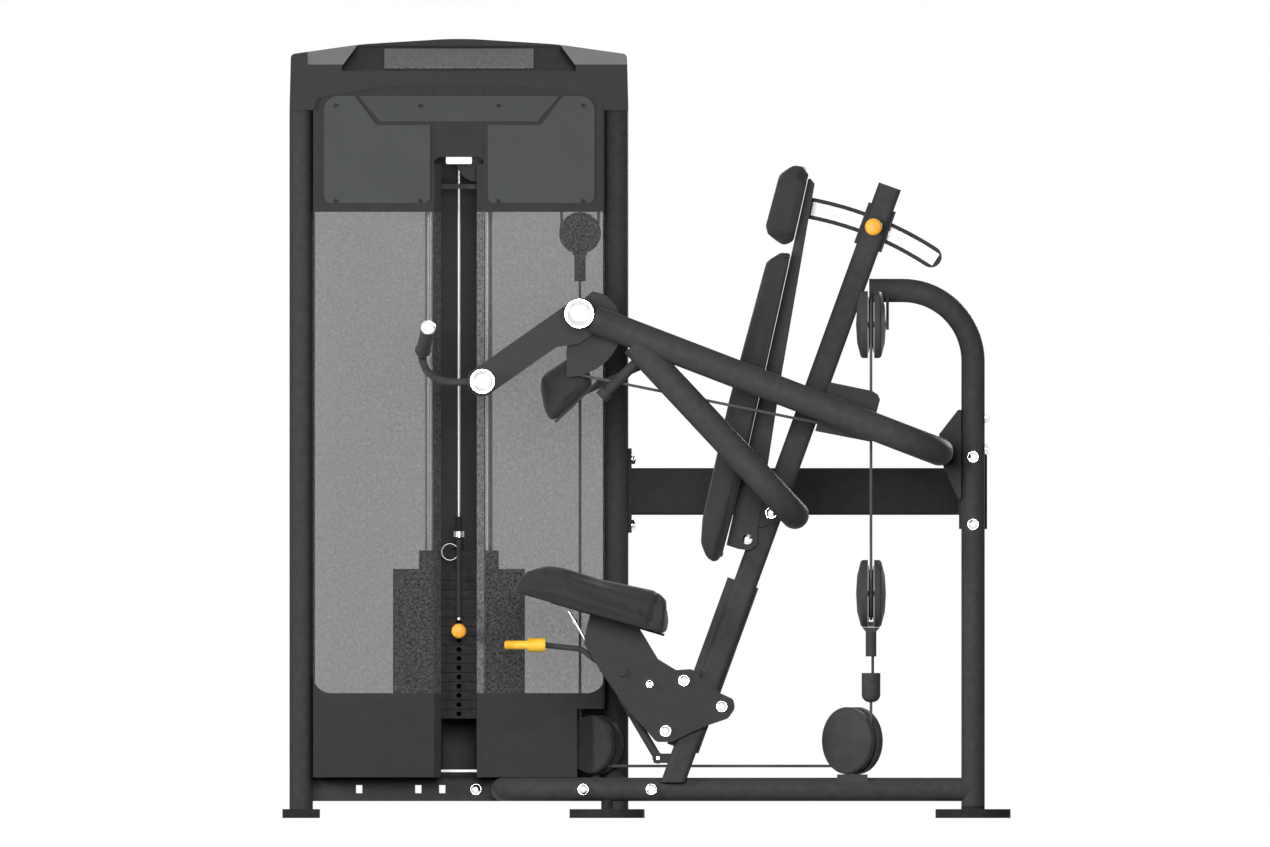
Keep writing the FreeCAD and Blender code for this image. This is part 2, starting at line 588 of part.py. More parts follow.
# split ring on its post, and the cord that drops in front of the plates to the ball over the knob
def lanyard():
    ringR = num("stem_size * 0.7")
    wire = num("pin_size * 0.22")
    centre = ringAt - Vec(0, wire, ringR * 0.78)
    ring = Part.makeTorus(ringR, wire, centre, Vec(0, 1, 0))
    end = knobFace + Vec(0, num("knob_length / 2"), num("knob_size / 2 + pin_size"))
    ball = Part.makeSphere(num("pin_size * 0.4"), end)
    front = centre.y - wire - num("pin_size / 2")
    top = Vec(end.x, front, num(HEAD_TOP + " + stem_size * 0.88"))
    bend = Vec(end.x, front, num(HEAD_TOP + " - stem_size * 2"))
    low = end + (bend - end).normalize() * num("pin_size * 0.42")
    cord = sweep(route([top, bend, low]), num("pin_size"))
    return Part.makeCompound([ring, cord.cut(ball), ball])


feature("pin_lanyard", lanyard())


# Seat frame: feet, base rail, link tube, column, rear upright and mid beam
RAIL_TOP = "bar_base + bar_size"
RAIL_MID = "bar_base + bar_size / 2"


# the round tube of the base rail, unhollowed
def railBar(gap="0"):
    return rod("bar_size", "upright_x - rail_start_x - tube_size * 0.1 - (%s)" % gap,
               ("rail_start_x", "seat_y", RAIL_MID), "X")


def rubberFeet():
    tower = [box("%s + post_width / 2 - foot_size / 2" % x, "%s + post_width / 2 + foot_size / 2" % x,
                 "tower_y - foot_length / 2", "tower_y + foot_length / 2", "0", "foot_height")
             for x in (LEFT, INNER_RIGHT)]
    seat = []
    for x, top, wide in (("middle_foot_x", "bar_base + bar_size * 0.2", "tube_size / 2"),
                         ("upright_x", "foot_height + flange_wall", "tube_size")):
        disc = rod("round_foot", "foot_height", (x, "seat_y", "0"))
        neck = rod(wide, "(%s) - foot_height" % top, (x, "seat_y", "foot_height"))
        seat.append(cut(fuse(disc, neck), railBar()))
    bumpers = [tube("2 * rod_size", "rod_size + rod_play", "stack_base - shelf_top", (x, "stack_y", "shelf_top"))
               for x in ("tower_x - rod_spacing / 2", "tower_x + rod_spacing / 2")]
    return compound(*(tower + seat + bumpers))


part("rubber_feet", rubberFeet())


# its rear end is cut to the curve of the upright
def baseRail():
    inner = rod("bar_size - 2 * tube_wall", "upright_x - rail_start_x",
                ("rail_start_x + flange_wall", "seat_y", RAIL_MID), "X")
    upright = rod("tube_size", "2 * bar_size", ("upright_x", "seat_y", "bar_base - bar_size / 2"))
    return cut(railBar(), inner, upright)


part("base_rail", baseRail())

reach = "tower_y - bar_size / 2 - seat_y"
part("link_tube", bentTube([("0", "0"), (reach, "0", "link_bend"), (reach, "rail_start_x - link_x")],
                           "tube_size", "tube_wall", ("link_x", "tower_y - bar_size / 2", RAIL_MID),
                           (Vec(0, 0, 1), "-90")))


# A point measured up the column from its foot and across it towards the user (negative)
def columnAt(along, across="0", y="seat_y"):
    return ("column_foot_x + (%s) * sin(column_tilt) + (%s) * cos(column_tilt)" % (along, across), y,
            "%s + (%s) * cos(column_tilt) - (%s) * sin(column_tilt)" % (RAIL_TOP, along, across))


TILT = (Vec(0, 1, 0), "column_tilt")
LOCK_X = "pivot_x + quadrant_size * sin(column_tilt + lock_lean)"
LOCK_Z = "pivot_z + quadrant_size * cos(column_tilt + lock_lean)"
LOCK_ALONG = ("(%s - column_foot_x) * sin(column_tilt) + (%s - bar_base - bar_size) * cos(column_tilt)"
              % (LOCK_X, LOCK_Z))


# the column's tube, hollow where rings are given
def columnBar(rings=()):
    half, deep = "tube_size / 2", "column_depth / 2"
    return prism(rect("-" + half, half, "-" + deep, deep, "tube_size * 0.24"), "column_length + tube_size",
                 columnAt("-tube_size"), "XY", rings=rings, turn=TILT, middle=False)


def column():
    half, deep = "tube_size / 2", "column_depth / 2"
    body = columnBar([rect("-%s + tube_wall" % half, half + " - tube_wall", "-%s + tube_wall" % deep,
                           deep + " - tube_wall", "tube_size * 0.19")])
    below = box("column_foot_x - 3 * tube_size", "column_foot_x + 2 * tube_size", "seat_y - column_depth",
                "seat_y + column_depth", "-2 * bar_size", RAIL_TOP + " - bar_size * 0.2")
    slot = box("-tube_size", "tube_size", "-quadrant_wall", "quadrant_wall", "-quadrant_width * 0.64",
               "quadrant_width * 0.64")
    slotAt = place(compound(slot), columnAt(LOCK_ALONG), *TILT)
    bearing = rod("tube_size * 0.75", "column_depth", ("pivot_x", "seat_y - column_depth / 2", "pivot_z"), "Y")
    pinHole = rod("lock_size + 2 * play", "column_depth", (LOCK_X, "seat_y - column_depth", LOCK_Z), "Y")
    tubeShape = cut(body, below, railBar(), slotAt, bearing, pinHole)
    pivotAt = ("pivot_x", "seat_y - column_depth / 2", "pivot_z")
    lug = cut(rod("tube_size * 0.75", "column_depth", pivotAt, "Y"),
              rod("axle_size + 2 * pin_play", "column_depth", pivotAt, "Y"))
    cap = prism(rect("-" + half, half, "-" + deep, deep, "tube_size * 0.24"), "strip_wall / 2",
                columnAt("column_length"), "XY", turn=TILT, middle=False)
    strips = []
    for across, wall, low in (("-tube_size / 2 - strip_wall", "strip_wall", "tube_size * 1.25"),
                              ("tube_size / 2", "strip_wall / 3", "tube_size * 1.3")):
        bar = box("0", wall, "-tube_size * 0.4", "tube_size * 0.4", "0", "tube_size * 8.8 - %s" % low)
        strips.append(place(compound(bar), columnAt(low, across), *TILT))
    bushY = "seat_y - column_depth / 2 - strip_wall * 1.4"
    bush = cut(rod("tube_size * 0.56", "strip_wall * 1.4", (LOCK_X, bushY, LOCK_Z), "Y"),
               rod("lock_size + 2 * play", "column_depth", (LOCK_X, "seat_y - column_depth", LOCK_Z), "Y"))
    plates = []
    for across in ("-tube_size / 2 - quadrant_wall", "tube_size / 2"):
        for y0, y1 in (("-tube_size * 0.4", "-quadrant_wall"), ("quadrant_wall", "tube_size * 0.4")):
            cheek = box("0", "quadrant_wall", y0, y1, "-quadrant_width", "quadrant_width")
            plates.append(place(compound(cheek), columnAt(LOCK_ALONG, across), *TILT))
    return compound(tubeShape, lug, cap, bush, *(strips + plates))


part("column", column())


# angle below level of the cable that leaves the cam at a radius and runs under the box pulley
def cableSlope(radius):
    across, down = num(BOX_X) - num("hub_x"), num("hub_z") - num("box_pulley_z")
    far = math.hypot(across, down)
    return math.degrees(math.atan2(down, across) - math.asin((radius - num("small_groove")) / far))


BOX_X = "seat_line_x - small_groove"


# stands on the rear foot, bends forward at the top and meets the column's back
def rearUpright():
    top = "upright_top"
    base = "foot_height + flange_wall"
    run = "upright_x - column_foot_x - (upright_top - %s) * tan(column_tilt)" % RAIL_TOP
    bent = bentTube([("0", "0"), ("%s - (%s)" % (top, base), "0", "upright_bend"), ("%s - (%s)" % (top, base), run)],
                    "tube_size", "tube_wall", ("upright_x", "seat_y", base), (Vec(1, -1, 1), "120"))
    half, deep = "tube_size / 2", "column_depth"
    solid = box("-" + half, half, "-" + deep, deep, "0", "column_length")
    return cut(bent, place(compound(solid), columnAt("0"), *TILT))


part("rear_upright", rearUpright())


# rectangular beam from the tower's post, bent towards the seat frame, with a flange at each end
def midBeam():
    start = RIGHT + " + flange_wall"
    run = "upright_x - (%s)" % start
    across = "tower_y - seat_y - tube_size / 2 - flange_wall"
    z = "beam_base + beam_height / 2"
    beam = bentTube([("0", "0"), (run, "0", "beam_bend"), (run, "-(%s)" % across)], "tube_size", "tube_wall",
                    (start, "tower_y", z), square=("tube_size", "beam_height", "lip_round / 2"))
    towerFlange = box(RIGHT, start, "tower_y - tube_size * 0.6", "tower_y + tube_size * 0.6",
                      "beam_base - tube_size * 0.76", "beam_base + beam_height + tube_size * 0.84")
    seatFlange = box("upright_x - tube_size * 0.6", "upright_x + tube_size * 0.6", "seat_y + tube_size / 2",
                     "seat_y + tube_size / 2 + flange_wall", "beam_base - tube_size * 0.6",
                     "beam_base + beam_height + tube_size * 0.7")
    return compound(beam, towerFlange, seatFlange)


part("mid_beam", midBeam())


# Arm frame: an upper U tube from hub to hub, a lower U tube as its brace, and their brackets
ARM_X = "hub_x + arm_reach * cos(arm_tilt)"
ARM_Z = "hub_z - arm_reach * sin(arm_tilt)"


# U tube that starts at the left hub, runs round behind the backrest and ends at the right hub
def armUpper():
    gap = "housing_size / 2"
    reach, width = "arm_reach - " + gap, "2 * leg_offset"
    tubeBody = bentTube([("0", "0"), (reach, "0", "arm_bend"), (reach, width, "arm_bend"), ("0", width)],
                        "arm_tube", "tube_wall",
                        ("hub_x + %s * cos(arm_tilt)" % gap, "seat_y - leg_offset", "hub_z - %s * sin(arm_tilt)" % gap),
                        (Vec(0, 1, 0), "arm_tilt"))
    tools = [rod("housing_size", "housing_length", ("hub_x", "seat_y %s leg_offset - housing_length / 2" % s, "hub_z"),
                 "Y") for s in "-+"]
    return cut(tubeBody, *tools)


def braceStart(side):
    return ("brace_x - brace_length * cos(brace_tilt)", "seat_y %s leg_offset" % side,
            "brace_z + brace_length * sin(brace_tilt)")


# brace U tube below the upper one, passing behind the column
def armLower():
    width = "2 * leg_offset"
    tubeBody = bentTube([("0", "0"), ("brace_length", "0", "arm_bend"), ("brace_length", width, "arm_bend"),
                         ("0", width)], "arm_tube", "tube_wall", braceStart("-"), (Vec(0, 1, 0), "brace_tilt"))
    tools = []
    for y in ("seat_y - leg_offset", "seat_y + leg_offset"):
        filled = rod("arm_tube", "arm_reach", ("0", "0", "0"))
        tools.append(place(compound(filled), ("hub_x", y, "hub_z"), Vec(0, 1, 0), "arm_tilt + 90"))
    half, deep = "tube_size / 2", "column_depth / 2"
    solid = box("-" + half, half, "-" + deep, deep, "0", "column_length")
    tools.append(place(compound(solid), columnAt("0"), *TILT))
    return cut(tubeBody, *tools)


part("arm_frame", compound(armUpper(), armLower()))


def gussets():
    pieces = []
    plateY = "tube_size * 0.3"
    # rear gusset between the upper tube's cross piece and the upright, on a flange plate
    upFace = "upright_x - tube_size / 2"
    low, high = "beam_base + beam_height * 0.35", "beam_base + beam_height * 2.24"
    flange = box(upFace + " - flange_wall", upFace, "seat_y - tube_size * 0.48", "seat_y + tube_size * 0.48", low, high)
    pieces.append(flange)
    cross = rod("arm_tube", "tube_size * 2", (ARM_X, "seat_y - tube_size", ARM_Z), "Y")
    for s in "-+":
        rib = prism([(upFace + " - flange_wall", low), (upFace + " - flange_wall", high),
                     (ARM_X, "(%s) + arm_tube * 0.62" % ARM_Z), (ARM_X, "(%s) - arm_tube * 0.2" % ARM_Z)],
                    "sheet_wall * 2", ("0", "seat_y %s %s" % (s, plateY), "0"))
        pieces.append(cut(rib, cross))
    # plates that hold the brace to the column
    braceCross = rod("arm_tube", "tube_size * 3", ("brace_x", "seat_y - tube_size * 1.5", "brace_z"), "Y")
    for s in "-+":
        y = "seat_y %s (column_depth / 2 + sheet_wall)" % s
        ear = prism([("brace_x - tube_size * 2.1", "brace_z + tube_size * 0.5", "lip_round"),
                     ("brace_x - tube_size * 0.1", "brace_z + tube_size * 0.95", "lip_round"),
                     ("brace_x + tube_size * 0.2", "brace_z"),
                     ("brace_x - tube_size * 1.6", "brace_z - tube_size * 0.6", "lip_round")],
                    "2 * sheet_wall", ("0", y, "0"))
        pieces.append(cut(ear, braceCross))
    # a stop post under each cam, welded to the upper tube's inner side
    for s in "-+":
        at = ("hub_x + stop_x", "seat_y %s (lever_offset + stop_size / 3)" % s, "hub_z - stop_drop")
        bar = compound(rod("stop_size", "stop_length", ("0", "0", "0")))
        stopPost = place(bar, at, Vec(0, 1, 0), "stop_tilt")
        head = compound(rod("stop_size * 1.4", "stop_size * 0.8", ("0", "0", "-stop_size * 0.8")))
        tip = place(head, at, Vec(0, 1, 0), "stop_tilt")
        leg = place(compound(rod("arm_tube", "arm_reach", ("0", "0", "0"))),
                    ("hub_x", "seat_y %s leg_offset" % s, "hub_z"), Vec(0, 1, 0), "arm_tilt + 90")
        brace = place(compound(rod("arm_tube", "brace_length", ("0", "0", "0"))), braceStart(s), Vec(0, 1, 0),
                      "brace_tilt + 90")
        pieces += [cut(stopPost, leg, brace), tip]
    return compound(*pieces)


# Hubs: bearing housings with bushes and end caps, then the curl levers with their cams
# Y texts of a stretch from near to far outboard of the seat's middle plane, low end first
def outward(side, near, far):
    if side == "-":
        return "seat_y - (%s)" % far, "seat_y - (%s)" % near
    return "seat_y + %s" % near, "seat_y + %s" % far


def disc(size, side, near, far, x="hub_x", z="hub_z"):
    y0, y1 = outward(side, near, far)
    return rod(size, "(%s) - (%s)" % (far, near), (x, y0, z), "Y")


H0 = "leg_offset - housing_length / 2"
H1 = "leg_offset + housing_length / 2"


def hub(side):
    bore = "shaft_size + 2 * bush_wall"
    shell = cut(disc("housing_size", side, H0, H1), disc(bore, side, H0, H1))
    bushes = [cut(disc(bore, side, a, b), disc("shaft_size + 2 * pin_play / 5", side, a, b))
              for a, b in ((H0, H0 + " + shaft_size"), (H1 + " - shaft_size", H1))]
    cap = disc("cap_size", side, H1 + " + play", H1 + " + cap_length")
    cavity = disc("cap_size - 2 * crown_wall", side, H1, H1 + " + cap_length / 2")
    return shell, bushes[0], bushes[1], cut(cap, cavity)


part("hub_housings", compound(*(hub("-") + hub("+"))))

# The lever's own frame: the hub at its origin, the handle's swivel down its arm
SWIVEL_X = "hub_x - lever_reach * cos(lever_drop)"
SWIVEL_Z = "hub_z - lever_reach * sin(lever_drop)"


def leverPlate(side):
    half, end = "lever_width / 2", "lever_width * 0.42"
    y = "seat_y %s lever_offset" % side
    plate = prism([("-lever_reach - %s" % half, "-" + half, end), ("-lever_reach * 0.32", "-%s" % half, "lip_round"),
                   ("-lever_reach * 0.15", "-lever_width * 0.84", "lip_round"),
                   ("lever_width * 0.4", "-lever_width * 0.84", "lip_round"), (half, "0", "lip_round"),
                   (half, half, end), ("-lever_reach - %s" % half, half, end)],
                  "lever_wall", ("hub_x", y, "hub_z"), turn=(Vec(0, 1, 0), "-lever_drop"))
    bore = disc("swivel_pin + 2 * pin_play", side, "lever_offset - lever_wall", "lever_offset + lever_wall", SWIVEL_X,
                SWIVEL_Z)
    shaftHole = disc("shaft_size", side, "lever_offset - lever_wall", "lever_offset + lever_wall")
    return cut(plate, bore, shaftHole)


# groove radius at an angle from straight down, growing evenly from the small to the large end
def camRadius(turn, shift=0):
    small, large, span = num("cam_small"), num("cam_large"), num("cam_turn")
    return large - (large - small) * turn / span + shift


# A closed spiral from angle low to high, measured from straight down towards the back
def camOutline(shift, low, high, hubSize):
    count = 9
    points = []
    for i in range(count):
        turn = low + (high - low) * i / (count - 1)
        r = camRadius(turn - low, shift)
        a = math.radians(turn)
        points.append(Vec(r * math.sin(a), 0, -r * math.cos(a)))
    curve = Part.BSplineCurve()
    curve.interpolate(points)
    back = Vec(-hubSize * 0.7, 0, hubSize * 0.2)
    foot = Vec(points[0].x, 0, points[0].z * 0.62)
    edges = [curve.toShape(), line(points[-1], back), line(back, foot), line(foot, points[0])]
    return Part.Face(Part.Wire(edges))


def cam(side):
    sign = -1 if side == "-" else 1
    wall, cheek = num("cam_wall"), num("cheek_wall")
    middle = num("seat_y") + sign * num("cam_offset")
    shaft = Part.makeCylinder(num("shaft_size") / 2, 4 * wall, Vec(0, -2 * wall, 0), Vec(0, 1, 0))
    slope = cableSlope(num("cam_large"))
    low, high = -slope, num("cam_turn") + 3 * slope
    groove = num("cable_size") / 2 + num("groove_play")
    core = camOutline(-groove, low, high, num("shaft_size")).extrude(Vec(0, wall - 2 * cheek, 0))
    core.translate(Vec(0, cheek - wall / 2, 0))
    pieces = [core]
    for start in (-wall / 2, wall / 2 - cheek):
        plate = camOutline(num("cable_size") * 1.7, low, high, num("shaft_size")).extrude(Vec(0, cheek, 0))
        plate.translate(Vec(0, start, 0))
        pieces.append(plate)
    solid = pieces[0].fuse(pieces[1:]).removeSplitter().cut(shaft)
    solid.translate(Vec(num("hub_x"), middle, num("hub_z")))
    return solid


def lever(side):
    shaft = disc("shaft_size", side, "cam_offset - cam_wall", H1 + " + cap_length / 3")
    return compound(leverPlate(side), shaft, feature(None, cam(side)))


part("curl_lever_left", lever("-"))
part("curl_lever_right", lever("+"))


# swivel pin with caps, clamp block, and the bent rod that carries the grip
def handle(side):
    sign = -1 if side == "-" else 1
    at = (SWIVEL_X, SWIVEL_Z)
    capStart, capEnd = "lever_offset + 3.2 * lever_wall", "lever_offset + 4.4 * lever_wall"
    pinBar = disc("swivel_pin", side, "lever_offset - swivel_size * 0.95", capStart, *at)
    cap = disc("swivel_size", side, capStart, capEnd, *at)
    collar = disc("swivel_size * 0.9", side, "lever_offset + lever_wall / 2 + play", capStart + " - play", *at)
    collarRing = cut(collar, disc("swivel_pin", side, "lever_offset", "lever_offset + 4 * lever_wall", *at))
    blockY = "seat_y %s (lever_offset - lever_wall / 2 - swivel_size * 0.34 - play)" % side
    blocks = [place(compound(box("-swivel_size * 0.45", "swivel_size * 0.45", "-swivel_size * 0.32",
                                 "swivel_size * 0.32", "-swivel_size * 0.45", "swivel_size * 0.45")),
                    (SWIVEL_X, blockY, SWIVEL_Z), Vec(0, 1, 0), "45")
              for _ in range(2)]
    squareCut = cut(blocks[0], disc("swivel_pin", side, "0", "lever_offset", *at))
    bar = feature(None, sweep(route(handlePoints(sign)), num("grip_rod")))
    inner = "lever_offset - lever_wall / 2 - swivel_size * 0.66 - play"
    barCut = cut(bar, blocks[1], disc("swivel_size * 0.94", side, inner, "lever_offset", *at))
    return compound(pinBar, cap, collarRing, squareCut, barCut, feature(None, gripCap(sign)))


# the rod's route from its clamp block, inward and up to the grip, then outward through it
def handlePoints(sign):
    x, z, y0 = num(SWIVEL_X), num(SWIVEL_Z), num("seat_y")
    unit = num("swivel_size")
    shares = [(-0.2, 4.72, -0.02), (-1.45, 4.66, -0.04), (-1.95, 3.7, 0.12), (-2.35, 2.2, 0.45), (-2.55, 1.95, 1.0),
              (-2.26, 5.3, 2.22)]
    return [Vec(x + u * unit, y0 + sign * v * unit, z + w * unit) for u, v, w in shares]


# where the straight grip starts and ends on the rod's last run
def gripEnds(sign):
    start, end = handlePoints(sign)[-2:]
    along = (end - start)
    return start + along * 0.24, start + along * 0.985, Vec(along).normalize()


def gripCap(sign):
    start, end, along = gripEnds(sign)
    size = num("grip_size")
    head = Part.makeCylinder(size * 0.53, size * 0.4, end + along * num("play"), along)
    edge = head.makeFillet(size * 0.14, [head.Edges[0], head.Edges[2]])
    return edge.cut(Part.makeCylinder(num("grip_rod") / 2, 10 * size, start, along))


def grip(label, sign):
    start, end, along = gripEnds(sign)
    size, bore = num("grip_size"), num("grip_rod")
    sleeve = Part.makeCylinder(size / 2, (end - start).Length, start, along)
    lip = Part.makeCylinder(size * 0.56, size * 0.16, start, along)
    hole = Part.makeCylinder(bore / 2, 10 * size, start - along * size, along)
    return feature(label, sleeve.fuse(lip).removeSplitter().cut(hole))


part("handle_left", handle("-"))
part("handle_right", handle("+"))
grip("grip_left", -1)
grip("grip_right", 1)


# Elbow pads under the hubs, on plates carried by the upper tube
# A pad whose side view is the outline, narrowing towards its two ends except at the flat corners
def cushion(outlinePoints, middle, width, flat=(), ends=(0.86, 0.97, 1.0), shares=(0.5, 0.42, 0.0)):
    centre = Vec()
    for p in outlinePoints:
        centre = centre + p
    centre = centre * (1.0 / len(outlinePoints))
    rows = [(-s, e) for s, e in zip(shares, ends)] + [(s, e) for s, e in list(zip(shares, ends))[-2::-1]]
    wires = []
    for share, scale in rows:
        ring = [centre + (p - centre) * (1 if i in flat else scale) + Vec(0, middle + share * width, 0)
                for i, p in enumerate(outlinePoints)]
        wires.append(Part.makePolygon(ring + [ring[0]]))
    return Part.makeLoft(wires, True, True)


# A point given as shares of the housing's diameter from the hub's axis
def hubPoint(u, w):
    size = num("housing_size")
    return Vec(num("hub_x") + u * size, 0, num("hub_z") + w * size)


elbowShares = [(-1.33, -2.12), (-1.18, -3.3), (-0.98, -3.62), (-0.84, -3.58), (0.5, -2.3), (0.46, -2.0),
               (0.26, -1.3), (-0.1, -1.34), (-1.08, -1.98)]


def elbowPads():
    pads = []
    for sign in (-1, 1):
        middle = num("seat_y") + sign * num("elbow_offset")
        pads.append(cushion([hubPoint(u, w) for u, w in elbowShares], middle, num("elbow_width")))
    return Part.makeCompound(pads)


feature("elbow_pads", elbowPads())


# backing plate under an elbow pad, its arm, and the post that joins it to the upper tube
def elbowArm(sign):
    wall = num("sheet_wall") * 2
    a, b = hubPoint(-0.84, -3.58), hubPoint(0.5, -2.3)
    along = (b - a).normalize()
    normal = Vec(along.z, 0, -along.x)
    half = num("elbow_width") * 0.4
    gap = normal * num("play")
    ring = [a + gap, b + gap + along * num("housing_size") * 0.25,
            b + gap + along * num("housing_size") * 0.25 + normal * wall, a + gap + normal * wall]
    plate = Part.Face(Part.makePolygon(ring + [ring[0]])).extrude(Vec(0, 2 * half, 0))
    middle = num("seat_y") + sign * num("elbow_offset")
    plate.translate(Vec(0, middle - half, 0))
    # the post leaves the upper tube's inner side behind the cam's sweep
    tilt = math.radians(num("arm_tilt"))
    distance = num("housing_size") * 3.3
    root = Vec(num("hub_x") + distance * math.cos(tilt), 0, num("hub_z") - distance * math.sin(tilt))
    y = num("seat_y") + sign * (num("leg_offset") - num("arm_tube") * 0.35)
    start = Vec(root.x, min(y, middle) - (wall * 3 if sign > 0 else 0), root.z)
    post = Part.makeCylinder(wall * 2, abs(y - middle) + wall * 3, start, Vec(0, 1, 0))
    legStart = Vec(num("hub_x"), num("seat_y") + sign * num("leg_offset"), num("hub_z"))
    leg = Part.makeCylinder(num("arm_tube") / 2, num("arm_reach"), legStart, Vec(math.cos(tilt), 0, -math.sin(tilt)))
    end = b + gap + along * num("housing_size") * 0.1 + normal * wall
    low = Vec(end.x, 0, end.z)
    strip = [low - along * wall * 6, low + along * wall, root + Vec(wall * 2, 0, wall), root + Vec(0, 0, -wall * 2.6)]
    flat = Part.Face(Part.makePolygon(strip + [strip[0]])).extrude(Vec(0, wall, 0))
    flat.translate(Vec(0, middle - wall / 2, 0))
    return plate.fuse([flat, post]).removeSplitter().cut(leg)


part("frame_brackets", compound(gussets(), feature(None, Part.makeCompound([elbowArm(-1), elbowArm(1)]))))


# Pulleys: grooved wheels, domed covers, and the brackets that carry them
# turns a section of (radius, height) points round an axis through a centre
def turned(points, centre, axis):
    ring = [Vec(r, 0, h) for r, h in points]
    solid = Part.Face(Part.makePolygon(ring + [ring[0]])).revolve(Vec(), Vec(0, 0, 1), 360)
    solid.Placement = FreeCAD.Placement(centre, FreeCAD.Rotation(Vec(0, 0, 1), axis))
    return solid


def wheelShape(centre, axis, groove, outer):
    half = num("wheel_width") / 2
    bottom = num(groove) - num("cable_size") / 2 - num("groove_play")
    narrow = num("cable_size") / 2 + num("groove_play")
    bore = num("axle_size") / 2 + num("pin_play") / 10
    rim = num(outer)
    return turned([(bore, -half), (rim, -half), (rim, -half * 0.8), (bottom, -narrow), (bottom, narrow),
                   (rim, half * 0.8), (rim, half), (bore, half)], centre, axis)


# two covers, one each side of a wheel, with the axle between their centres
def coverShapes(centre, axis, size, dome=True):
    near = num("wheel_width") / 2 + num("play") * 1.5
    rim = num(size) / 2
    out = near + num("cover_wall")
    peak = out + (num("dome_rise") if dome else 0)
    shapes = []
    for sign in (-1, 1):
        ring = [(0, sign * near), (rim, sign * near), (rim, sign * (out - num("cover_wall") * 0.25)),
                (rim * 0.95, sign * out), (rim * 0.55, sign * (out + (peak - out) * 0.75)), (0, sign * peak)]
        if sign < 0:
            ring.reverse()
        shapes.append(turned(ring, centre, axis))
    pin = turned([(0, -near), (num("axle_size") / 2, -near), (num("axle_size") / 2, near), (0, near)], centre, axis)
    return shapes, pin


ALONG_X, ALONG_Y, UP = Vec(1, 0, 0), Vec(0, 1, 0), Vec(0, 0, 1)
SEAT_LINE = spot("seat_line_x", "seat_y", "0")
TOWER_LINE = spot("tower_line_x", "stack_y", "0")
plan = (TOWER_LINE - SEAT_LINE).normalize()
planAxis = UP.cross(plan)


def raised(point, z):
    return Vec(point.x, point.y, num(z))


def topCentre(sign):
    return spot("seat_line_x", "seat_y", "top_pulley_z") + Vec(0, sign * (num("box_offset") - num("big_groove")), 0)


def boxCentre(sign):
    return Vec(num(BOX_X), num("seat_y") + sign * num("box_offset"), num("box_pulley_z"))


FLOOR_CENTRE = raised(SEAT_LINE + plan * num("big_groove"), "floor_line_z + big_groove")
LOW_CENTRE = raised(TOWER_LINE - plan * num("low_groove"), "floor_line_z + low_groove")
FLOAT_CENTRE = spot("seat_line_x", "seat_y", "floating_z")
TOWER_FLOAT = spot("tower_line_x", "stack_y", "float_z")

for label, x in (("tower_pulley_stack", FIRST_X), ("tower_pulley_side", SECOND_X)):
    centre = spot(x, "stack_y", "tower_pulley_z")
    feature(label, wheelShape(centre, ALONG_Y, "small_groove", "small_wheel"))
feature("tower_pulley_low", wheelShape(LOW_CENTRE, planAxis, "low_groove", "low_wheel"))
feature("tower_floating_wheel", wheelShape(TOWER_FLOAT, ALONG_Y, "small_groove", "small_wheel"))
feature("floor_pulley", wheelShape(FLOOR_CENTRE, planAxis, "big_groove", "big_wheel"))
feature("floating_wheel", wheelShape(FLOAT_CENTRE, ALONG_X, "big_groove", "big_wheel"))
for sign, side in ((-1, "left"), (1, "right")):
    feature("top_pulley_" + side, wheelShape(topCentre(sign), ALONG_X, "big_groove", "big_wheel"))
    feature("box_pulley_" + side, wheelShape(boxCentre(sign), ALONG_Y, "small_groove", "small_wheel"))


def solidBox(centre, x, y, z, turn=0):
    shape = Part.makeBox(x, y, z, Vec(-x / 2, -y / 2, -z / 2))
    shape.rotate(Vec(), UP, turn)
    shape.translate(centre)
    return shape


